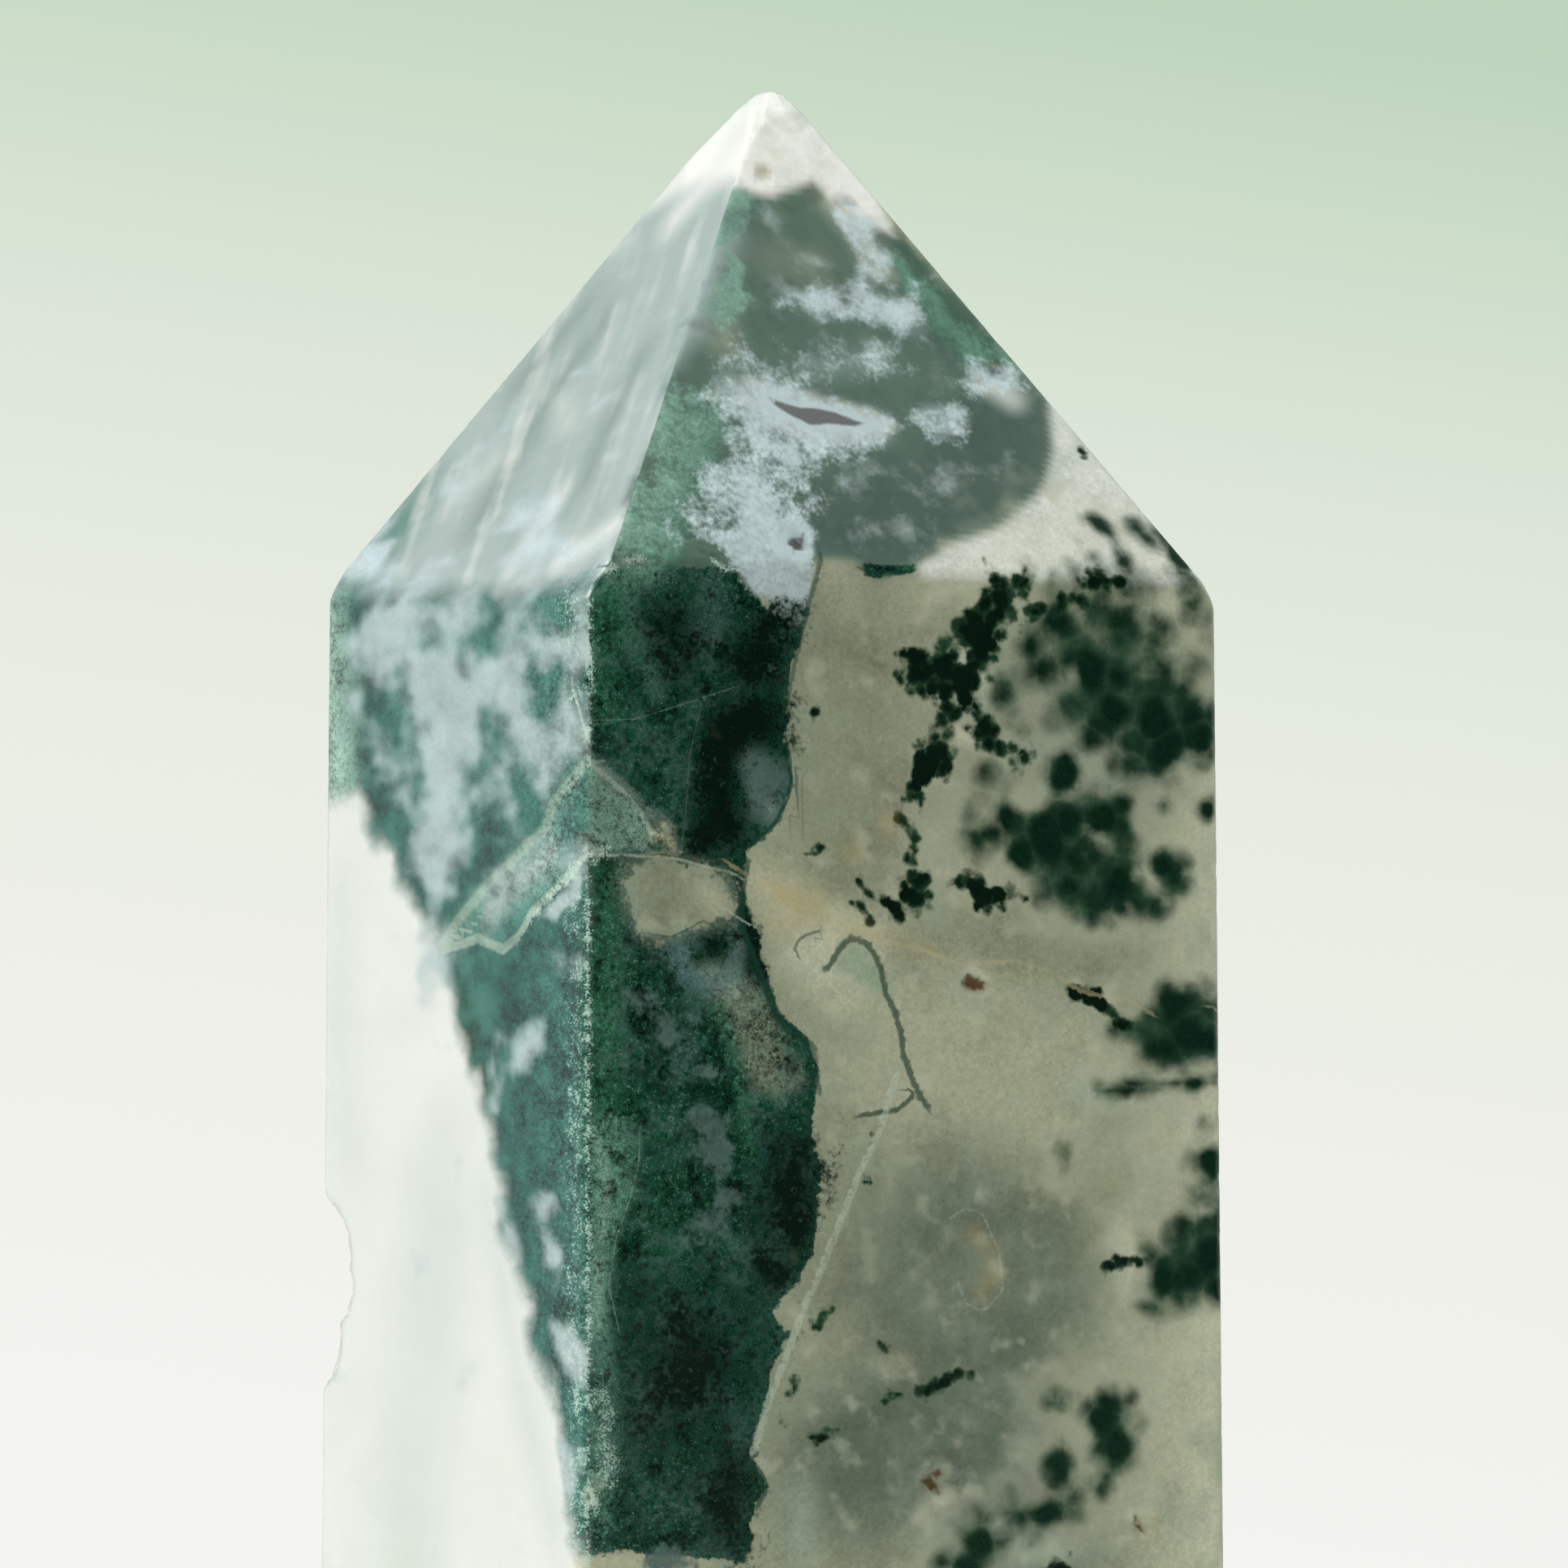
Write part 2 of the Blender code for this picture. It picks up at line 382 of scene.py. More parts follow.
# The marks that the photo shows, by the pixels they pass. A wash is a soft colour:
# (colour, strength, half width in mm, softness in mm, the points it passes). With no
# half width it fills the outline of its points.
matrixWashes = {
    "nearBand": ("ash", 0.85, 0.0, 1.0, [(1010, 715), (1085, 740), (1120, 830), (1100, 1040), (1030, 1090),
        (960, 1010), (985, 860)]),
    "aboveLobe": ("pale", 0.6, 0.5, 0.9, [(1030, 700), (1040, 740)]),
    "underShoulder": ("pale", 0.8, 0.9, 1.1, [(1140, 730), (1210, 726)]),
    "creamTriangle": ("bright", 0.75, 0.0, 0.8, [(940, 1085), (1000, 1110), (1100, 1150), (1090, 1240),
        (1030, 1250), (965, 1190)]),
    "underVein": ("pale", 0.95, 0.0, 1.6, [(1040, 1230), (1160, 1190), (1330, 1230), (1380, 1330),
        (1300, 1420), (1130, 1400), (1040, 1330)]),
    "betweenMoss": ("smoke", 0.5, 1.2, 1.6, [(1180, 960), (1250, 860), (1270, 800)]),
    "greyMoss": ("smoke", 0.75, 1.3, 1.6, [(1395, 985), (1300, 930)]),
    "greyMiddle": ("ash", 0.7, 1.6, 1.8, [(1270, 1150), (1390, 1170)]),
    "greyLow": ("dusk", 0.8, 0.0, 2.0, [(1060, 1440), (1180, 1420), (1340, 1480), (1360, 1620),
        (1280, 1740), (1100, 1700), (1020, 1600)]),
    "greyFoot": ("dusk", 1.0, 3.2, 2.4, [(1060, 1800), (1180, 1760), (1240, 1900)]),
    "paleFoot": ("sage", 0.8, 0.6, 0.9, [(982, 1845), (985, 1900)]),
    # The next two washes paint a glow of light along the front wall's right edge, as light coming through the
    # stone from the right side.
    "paintedLightRightEdge": ("bright", 0.9, 1.2, 2.4, [(1500, 960), (1500, 1190)]),
    "rightLow": ("bright", 1.0, 1.5, 3.2, [(1500, 1380), (1500, 1650), (1490, 1930)]),
    "topRight": ("bright", 0.8, 0.8, 1.4, [(1440, 760), (1480, 745)]),
    "vein": ("cream", 0.6, 0.6, 1.2, [(930, 1085), (1000, 1125), (1060, 1145)]),
    "whiteMoss": ("bright", 0.8, 0.32, 0.4, [(1182, 905), (1200, 912)]),
    "whiteBelowB": ("sage", 0.9, 0.5, 0.8, [(1270, 925), (1310, 915), (1350, 935), (1372, 975)]),
    "whiteBesideA": ("sage", 0.9, 0.35, 0.5, [(1210, 862), (1222, 840)]),
    "greyRoundB": ("smoke", 0.7, 0.0, 1.1, [(1240, 780), (1290, 765), (1440, 770), (1485, 840), (1495, 940),
        (1380, 970), (1260, 950), (1240, 880)]),
    "whiteMossTwo": ("bright", 0.6, 0.35, 0.6, [(1178, 815), (1215, 850)]),
    "whiteE": ("bright", 0.75, 0.4, 0.7, [(1385, 1525), (1392, 1578)]),
    "whiteLine": ("sage", 0.8, 0.5, 0.9, [(1335, 1342), (1365, 1355)]),
    "mintPatch": ("pale", 0.7, 0.25, 0.5, [(1085, 1680), (1112, 1678)]),
    "whitePit": ("bright", 0.6, 0.30, 0.4, [(1158, 1848), (1168, 1842)]),
    "loopFill": ("jade", 0.5, 0.0, 0.4, [(1024, 1192), (1040, 1160), (1068, 1162), (1090, 1205),
        (1094, 1228), (1072, 1222), (1050, 1202)]),
    "footPale": ("sage", 0.7, 0.5, 0.9, [(1235, 1895), (1290, 1920)]),
    "paleStreaks": ("pale", 0.55, 0.2, 0.5, [(1110, 1340), (1092, 1480)]),
    "paleStreaksTwo": ("pale", 0.5, 0.15, 0.4, [(1070, 1300), (1030, 1400)]),
    # The next wash is a painted highlight along the shoulder line.
    "paintedShoulderHighlight": ("milk", 0.85, 0.22, 0.32, [(1137, 701), (1300, 708), (1451, 714)]),
    "creamArea": ("ash", 1.0, 0.0, 0.4, [(738, 1064), (771, 1057), (835, 1055), (895, 1075), (908, 1105),
        (898, 1138), (860, 1145), (800, 1158), (775, 1125), (745, 1095)]),
    "creamSide": ("sage", 0.7, 0.3, 0.5, [(765, 1075), (775, 1120)]),
    "creamEdge": ("pale", 0.95, 0.40, 0.45, [(868, 1096), (888, 1118)]),
    "creamFoot": ("cream", 0.9, 0.25, 0.35, [(712, 1926), (800, 1924), (870, 1932)]),
    "leftSoft": ("pearl", 0.5, 3.5, 3.0, [(540, 1500), (500, 1900)]),
    "leftEdge": ("pearl", 0.45, 1.6, 2.5, [(420, 1120), (425, 1400)]),
    "besideTeal": ("pearl", 0.55, 0.8, 1.5, [(600, 1480), (640, 1700), (680, 1880)]),
}
slopeWashes = {
    "slopeGround": ("slate", 1.0, 0.0, 0.35, [(905, 236), (951, 240), (1001, 224), (1120, 300), (1287, 470),
        (1299, 557), (1288, 600), (1232, 650), (1166, 671), (1137, 693), (1080, 712), (1051, 690),
        (1005, 690), (900, 720), (740, 715), (760, 640), (840, 380)]),
    "lobe": ("deepSlate", 0.6, 0.0, 0.9, [(975, 600), (1080, 570), (1150, 545), (1200, 505), (1290, 490),
        (1297, 557), (1285, 600), (1230, 646), (1166, 668), (1137, 689), (1080, 706), (1045, 684),
        (990, 660)]),
    "upperGrey": ("smoke", 0.5, 0.9, 1.2, [(960, 320), (1000, 330)]),
    "rightGreen": ("moss", 0.5, 0.6, 1.1, [(1110, 300), (1180, 395), (1225, 440)]),
    "streaksHigh": ("frost", 0.55, 0.35, 0.8, [(1000, 375), (1060, 372), (1125, 395)]),
    "streaksMiddle": ("frost", 0.4, 0.3, 0.9, [(1010, 455), (1080, 440)]),
    "pinkHigh": ("bright", 0.75, 0.4, 0.9, [(1025, 245), (1065, 290), (1085, 330)]),
    "tipWhite": ("snow", 1.0, 0.0, 0.30, [(840, 250), (903, 236), (951, 240), (1001, 222), (1040, 262),
        (1100, 290), (1060, 160), (950, 90), (850, 150)]),
    "pinkCorner": ("bright", 0.35, 0.4, 0.9, [(888, 385), (893, 425)]),
    "ringOuter": ("frost", 0.75, 0.55, 0.7, [(905, 480), (950, 505), (1010, 535), (1075, 525)]),
    "ringWhite": ("milk", 0.6, 0.22, 0.32, [(925, 470), (950, 482), (1010, 492), (1075, 512), (1090, 525)]),
    "ringWhiteLow": ("milk", 0.6, 0.22, 0.32, [(920, 490), (960, 520), (1010, 540), (1060, 533),
        (1095, 522)]),
    "rightPatch": ("frost", 0.9, 0.25, 0.4, [(1145, 510), (1180, 512), (1160, 530)]),
    "cornerPatch": ("milk", 0.7, 0.5, 0.6, [(1215, 470), (1245, 490)]),
    "whiteRight": ("milk", 0.9, 0.0, 0.22, [(1292, 470), (1299, 557), (1289, 602), (1232, 652), (1166, 674),
        (1137, 696), (1140, 712), (1470, 722), (1560, 760), (1420, 560), (1330, 470)]),
    "greyRight": ("ash", 0.15, 0.4, 0.8, [(1340, 620), (1400, 690)]),
}
leftWashes = {
    "leftSlope": ("fog", 0.9, 0.0, 0.8, [(905, 232), (874, 336), (837, 443), (791, 557), (750, 690),
        (730, 740), (560, 740), (400, 735), (380, 680), (500, 560), (650, 395), (780, 270), (860, 225)]),
    "leftSlopeLight": ("frost", 0.8, 0.5, 1.0, [(890, 290), (850, 400), (800, 520), (770, 600)]),
    "leftTop": ("milk", 0.9, 0.8, 1.4, [(905, 170), (870, 225), (835, 265)]),
    "leftOuter": ("milk", 0.5, 0.4, 1.4, [(620, 560), (560, 610)]),
    "leftSlopeDark": ("slate", 0.55, 0.7, 1.8, [(740, 400), (660, 520), (590, 640)]),
    "leftSlopeDarkTwo": ("slate", 0.5, 0.5, 1.4, [(790, 440), (720, 590)]),
    "leftSlopeEdge": ("slate", 0.5, 0.7, 1.8, [(720, 380), (640, 470)]),
    "leftSlopeCorner": ("lagoon", 0.9, 1.6, 2.4, [(500, 640), (430, 705)]),
    "leftSlopeWhite": ("milk", 1.0, 0.45, 0.9, [(765, 640), (730, 668), (690, 690)]),
    "leftSlopeWhiteTwo": ("milk", 0.5, 0.3, 1.0, [(700, 520), (690, 490)]),
    "leftSlopeWhiteThree": ("milk", 0.8, 0.4, 1.0, [(700, 600), (660, 650), (630, 700)]),
}
# Washes of the green ground, which shows inside the band.
greenWashes = {
    "leftTop": ("lagoon", 0.6, 0.0, 1.5, [(700, 735), (700, 940), (560, 1080), (480, 960), (470, 740)]),
    "curvedDark": ("teal", 0.65, 1.2, 1.8, [(480, 690), (447, 735), (437, 785), (447, 857), (465, 930),
        (480, 1000), (530, 1090), (560, 1140)]),
    "leftStrip": ("mint", 0.9, 2.4, 1.8, [(395, 720), (405, 860), (410, 980)]),
    "leftStripLow": ("lagoon", 0.7, 0.6, 1.4, [(500, 1000), (540, 1060)]),
    "facet": ("lagoon", 0.95, 0.0, 0.25, [(542, 1166), (590, 1103), (633, 1061), (666, 1027), (679, 993),
        (708, 956), (723, 937), (721, 1046), (700, 1080), (675, 1105), (654, 1126), (637, 1156),
        (620, 1170), (590, 1156)]),
    "facetPale": ("pearl", 0.55, 0.5, 1.0, [(600, 1120), (650, 1075), (680, 1050)]),
    "besideCrack": ("lagoon", 0.6, 0.6, 1.2, [(570, 1190), (590, 1270)]),
    "leftDarkFoot": ("moss", 0.7, 0.7, 0.9, [(570, 1240), (585, 1310), (600, 1360)]),
    "leftDarkLow": ("teal", 0.8, 0.9, 1.2, [(640, 1380), (660, 1480)]),
    "ledgeGlow": ("mint", 0.75, 0.10, 0.5, [(545, 1162), (590, 1104), (633, 1063), (666, 1030), (683, 990),
        (708, 958), (722, 938), (742, 957), (771, 983), (800, 1012)]),
    "besideArris": ("lagoon", 0.7, 0.8, 1.5, [(712, 1300), (716, 1500), (712, 1640), (714, 1880)]),
    "leafTop": ("leaf", 0.9, 0.5, 0.9, [(740, 735), (735, 800), (738, 870)]),
    "leafTopTwo": ("leaf", 0.6, 0.3, 0.7, [(770, 720), (765, 780)]),
    "hazeTop": ("jade", 0.35, 0.15, 0.7, [(780, 740), (785, 790), (810, 850)]),
    "speckled": ("deep", 0.95, 0.0, 0.5, [(784, 700), (1000, 690), (990, 780), (960, 850), (900, 860),
        (840, 860), (800, 800)]),
    "speckledPale": ("blueGrey", 0.35, 0.5, 0.9, [(880, 745), (865, 780)]),
    "facetFront": ("mint", 0.6, 0.0, 0.3, [(723, 937), (742, 956), (771, 981), (792, 1006), (805, 1031),
        (800, 1052), (771, 1050), (742, 1053), (721, 1046)]),
    "paleBlob": ("fog", 0.6, 0.3, 0.5, [(925, 940), (940, 985), (950, 1000)]),
    "starPale": ("cream", 0.9, 0.12, 0.25, [(805, 1030), (822, 1020), (828, 1048)]),
    "greySand": ("smoke", 0.7, 0.0, 0.5, [(858, 1192), (905, 1186), (928, 1212), (950, 1250), (968, 1290),
        (988, 1332), (960, 1348), (925, 1338), (903, 1290), (885, 1235)]),
    "creamHalo": ("dusk", 0.9, 0.0, 0.5, [(765, 1062), (835, 1056), (900, 1076), (912, 1110), (902, 1140),
        (858, 1150), (800, 1162), (770, 1130), (755, 1090)]),
    "blueRing": ("blueGrey", 0.7, 0.35, 0.4, [(835, 1172), (845, 1200), (870, 1215), (905, 1200)]),
    "greyMiddle": ("blueGrey", 0.25, 0.3, 0.6, [(840, 1270), (850, 1310)]),
    "leafUnder": ("leaf", 0.9, 0.4, 0.7, [(745, 1090), (748, 1140)]),
    "mossUnder": ("moss", 0.8, 0.6, 1.2, [(750, 1190), (745, 1300)]),
    "leafEdge": ("leaf", 0.9, 0.22, 0.4, [(888, 1241), (904, 1299), (915, 1357), (925, 1420)]),
    "leafStrip": ("leaf", 0.8, 0.7, 0.7, [(745, 1190), (748, 1300), (740, 1400)]),
    "paleStrip": ("jade", 0.7, 0.0, 0.25, [(726, 1370), (750, 1372), (786, 1385), (788, 1430), (776, 1480),
        (760, 1526), (751, 1585), (748, 1640), (726, 1640)]),
    "paleStripLight": ("mint", 0.7, 0.15, 0.35, [(735, 1400), (748, 1460), (738, 1540), (736, 1640)]),
    "paleStripLow": ("jade", 0.7, 0.3, 0.6, [(742, 1650), (745, 1720), (738, 1870)]),
    "lowMoss": ("moss", 0.7, 0.9, 1.5, [(800, 1400), (820, 1520), (830, 1620)]),
    "lowTeal": ("teal", 0.35, 0.7, 1.5, [(880, 1620), (900, 1760)]),
    "slopeEdge": ("edging", 1.0, 1.6, 1.0, [(915, 235), (895, 380), (850, 500), (800, 600), (775, 660)]),
    "slopeEdgeDark": ("jade", 0.6, 0.6, 0.8, [(880, 520), (850, 640), (800, 690)]),
    "slopeRight": ("jade", 0.9, 1.5, 1.0, [(1090, 300), (1190, 395), (1240, 450)]),
}

# Areas of green ground, and light ground that shows through it. An outline is (softness
# in mm, the points it passes), and with no softness its field counts in mm.
bandOutlines = {
    "band": (0.0, [(1011, 694), (999, 735), (986, 785), (969, 857), (967, 907), (976, 966), (961, 1008),
        (921, 1050), (919, 1084), (919, 1118), (931, 1147), (944, 1198), (961, 1244), (990, 1273),
        (1003, 1311), (1007, 1340), (999, 1395), (1011, 1437), (1011, 1492), (1005, 1543), (985, 1580),
        (950, 1620), (972, 1640), (953, 1690), (945, 1730), (929, 1770), (927, 1800), (948, 1829),
        (930, 1858), (927, 1905), (915, 1924), (870, 1921), (830, 1917), (780, 1912), (712, 1914),
        (704, 1896), (700, 1833), (691, 1766), (683, 1719), (666, 1686), (649, 1656), (654, 1610),
        (633, 1551), (616, 1517), (620, 1467), (607, 1416), (603, 1383), (590, 1349), (578, 1324),
        (561, 1269), (557, 1223), (544, 1189), (540, 1164), (519, 1134), (489, 1084), (485, 1046),
        (460, 1038), (439, 983), (401, 987), (360, 995), (310, 975), (290, 930), (300, 840), (335, 740),
        (370, 715), (440, 722), (551, 728), (620, 728), (700, 722), (722, 706), (790, 700), (860, 698),
        (900, 696), (960, 694)]),
    "shoulderLip": (0.0, [(1058, 692), (1129, 696), (1128, 706), (1070, 712)]),
}
bandGaps = {
    "lensTop": (0.0, [(870, 694), (905, 700), (930, 728), (955, 760), (985, 768), (1000, 730), (1011, 680),
        (990, 676)]),
    "paleWindow": (0.0, [(560, 1345), (575, 1322), (588, 1330), (570, 1352)]),
    "creamArea": (2.6, [(778, 1062), (835, 1060), (890, 1078), (903, 1105), (898, 1134), (865, 1134),
        (854, 1142), (827, 1155), (792, 1149), (775, 1120), (768, 1085)]),
}

# Green that shows through the mist along the slanted arris.
edgingOutlines = {
    "top": (0.6, [(900, 222), (930, 232), (925, 275), (912, 300), (890, 305)]),
    "middle": (0.7, [(893, 305), (915, 320), (920, 386), (890, 410), (866, 380)]),
    "low": (1.2, [(825, 470), (870, 472), (905, 500), (900, 560), (880, 610), (890, 680), (740, 700),
        (790, 590)]),
    "right": (1.2, [(1090, 300), (1190, 395), (1240, 450), (1200, 460), (1120, 380)]),
}

# Mossy dark green clusters in the light ground, as outlines here and as beads below. A
# bead is (half width in mm, softness, the points it passes).
mossOutlines = {
    "aHead": (0.5, [(1225, 705), (1263, 717), (1259, 740), (1244, 771), (1217, 786), (1222, 815),
        (1202, 844), (1182, 863), (1159, 855), (1121, 844), (1109, 821), (1136, 798), (1167, 778),
        (1202, 744), (1221, 736)]),
    "aTail": (0.4, [(1163, 860), (1184, 875), (1167, 902), (1173, 928), (1167, 955), (1148, 955),
        (1132, 963), (1125, 944), (1136, 921), (1155, 902), (1160, 880)]),
}
# Light places inside them.
mossGaps = {
    "aHole": (0.35, [(1174, 800), (1190, 796), (1201, 812), (1192, 827), (1178, 820)]),
    "aHoleTwo": (0.25, [(1138, 802), (1158, 795), (1156, 806), (1142, 812)]),
}
sunkGaps = {
    "cHole": (0.6, [(1343, 1020), (1364, 1020), (1364, 1044), (1344, 1044)]),
    "bHole": (0.5, [(1312, 822), (1330, 820), (1328, 838), (1314, 838)]),
}
veilGaps = {
    "sheetGreen": (1.2, [(648, 800), (690, 815), (692, 890), (662, 905), (645, 850)]),
    "sheetGreenLow": (1.2, [(629, 955), (672, 945), (668, 1040), (635, 1040)]),
    "sheetGreenTop": (1.2, [(668, 728), (716, 728), (716, 800), (690, 790)]),
}
# Clusters that lie deeper in the stone, so their edges are blurred.
sunkOutlines = {
    "b": (1.8, [(1270, 775), (1300, 740), (1345, 722), (1405, 728), (1440, 780), (1455, 830), (1400, 870),
        (1330, 870), (1285, 830)]),
    "bCore": (0.9, [(1300, 790), (1345, 775), (1385, 790), (1410, 850), (1384, 908), (1330, 910),
        (1298, 870)]),
    "bDark": (0.8, [(1378, 848), (1400, 822), (1440, 828), (1500, 868), (1508, 915), (1460, 938),
        (1430, 960), (1385, 952), (1372, 900)]),
    "c": (0.5, [(1240, 1020), (1250, 1000), (1290, 992), (1310, 982), (1326, 968), (1352, 968), (1380, 983),
        (1402, 1020), (1410, 1060), (1394, 1088), (1386, 1126), (1340, 1132), (1296, 1118), (1278, 1092),
        (1258, 1070), (1240, 1050)]),
    "d": (0.7, [(1378, 1262), (1400, 1240), (1425, 1235), (1440, 1210), (1475, 1212), (1512, 1235),
        (1512, 1310), (1440, 1318), (1390, 1290)]),
    "e": (0.7, [(1400, 1520), (1425, 1540), (1460, 1500), (1515, 1470), (1515, 1600), (1440, 1612),
        (1425, 1635), (1405, 1610), (1425, 1575)]),
    "f": (0.8, [(1340, 1740), (1360, 1715), (1390, 1730), (1402, 1780), (1385, 1825), (1358, 1835),
        (1345, 1790)]),
    "fTwo": (0.7, [(1290, 1800), (1310, 1775), (1325, 1800), (1318, 1835), (1292, 1830)]),
    "g": (0.7, [(1150, 1940), (1185, 1905), (1178, 1880), (1215, 1872), (1232, 1900), (1222, 1945)]),
}
mossBeads = {
    "aFoot": (0.42, 0.35, [(1130, 1092), (1128, 1108)]),
    "aFootTwo": (0.22, 0.30, [(1108, 1125)]),
    "cLead": (0.30, 0.35, [(1180, 1085)]),
    "cLeadTwo": (0.32, 0.35, [(1200, 1090), (1215, 1108), (1245, 1100)]),
    "dLead": (0.16, 0.25, [(1322, 1222), (1350, 1230), (1370, 1250), (1390, 1262)]),
    "eTail": (0.18, 0.30, [(1366, 1563), (1400, 1553)]),
    "strokeOne": (0.17, 0.26, [(1131, 1713), (1150, 1709), (1178, 1698), (1192, 1694)]),
    "strokeTwo": (0.09, 0.22, [(1086, 1728), (1113, 1714)]),
    "strokeThree": (0.08, 0.24, [(1076, 1652), (1101, 1665)]),
    "strokeFour": (0.10, 0.24, [(1001, 1768), (1022, 1767), (1033, 1760)]),
    "strokeFive": (0.10, 0.2, [(974, 1722), (981, 1695)]),
    "strokeSix": (0.10, 0.26, [(1005, 1632), (1026, 1612)]),
    "dotBand": (0.10, 0.10, [(1029, 1606)]),
    "matrixDot": (0.09, 0.08, [(1037, 1404)]),
    "matrixDotTwo": (0.09, 0.16, [(1075, 1400)]),
    "matrixDotThree": (0.10, 0.14, [(1069, 1455)]),
    "dottedBead": (0.10, 0.16, [(997, 1053), (1012, 1042)]),
    "upperBead": (0.10, 0.20, [(998, 884), (1004, 878)]),
    "branch": (0.10, 0.22, [(1052, 1110), (1066, 1125), (1073, 1134)]),
    "branchTwo": (0.07, 0.22, [(1060, 1090), (1078, 1108), (1098, 1112)]),
    "branchBead": (0.20, 0.22, [(1072, 1132)]),
    "slopeSpot": (0.20, 0.25, [(1334, 557)]),
    "aTop": (0.32, 0.3, [(1270, 752), (1282, 750)]),
    "aTopTwo": (0.26, 0.35, [(1309, 744)]),
    "aTopThree": (0.22, 0.4, [(1336, 744)]),
    "aTopFour": (0.24, 0.35, [(1340, 720), (1355, 714), (1380, 718)]),
    "aSpot": (0.40, 0.3, [(1214, 892), (1219, 916)]),
    "aOlive": (0.20, 0.5, [(1236, 922), (1260, 930)]),
    "aLoop": (0.09, 0.2, [(1128, 962), (1110, 985), (1109, 1009), (1123, 1020), (1134, 998), (1132, 978),
        (1128, 962)]),
    "aLoopFoot": (0.15, 0.25, [(1121, 1018), (1125, 1036), (1121, 1054)]),
}
sunkBeads = {
    "rightBit": (0.22, 0.45, [(1432, 996)]),
    "rightBitTwo": (0.34, 0.45, [(1488, 1000)]),
    "rightTop": (0.5, 1.2, [(1470, 740)]),
    "underA": (0.30, 1.0, [(1238, 830), (1240, 870)]),
    "cLump": (0.72, 0.4, [(1309, 955)]),
    "cRight": (0.66, 0.45, [(1438, 1068), (1446, 1092)]),
    "cRightLow": (0.6, 0.5, [(1402, 1100), (1418, 1115)]),
    "cSoft": (0.3, 1.0, [(1195, 1025), (1222, 1035)]),
    "dLine": (0.20, 0.35, [(1352, 1342), (1420, 1338), (1500, 1330)]),
    "underATwo": (0.30, 0.9, [(1225, 960), (1240, 1000)]),
    "eSoft": (0.7, 1.6, [(1500, 1440), (1490, 1480)]),
    "fBead": (0.28, 0.6, [(1298, 1730)]),
    "gBead": (0.3, 0.7, [(1248, 1863), (1275, 1872), (1320, 1850)]),
    "gBeadTwo": (0.25, 0.6, [(1200, 1918)]),
    "middleGreen": (0.12, 0.5, [(1312, 1418), (1316, 1432)]),
    "slopeMottle": (0.14, 0.45, [(1345, 640), (1365, 655), (1385, 690)]),
    "slopeMottleThree": (0.22, 0.5, [(1395, 646), (1420, 672)]),
    "slopeMottleTwo": (0.24, 0.60, [(1430, 655), (1455, 690), (1475, 720)]),
}

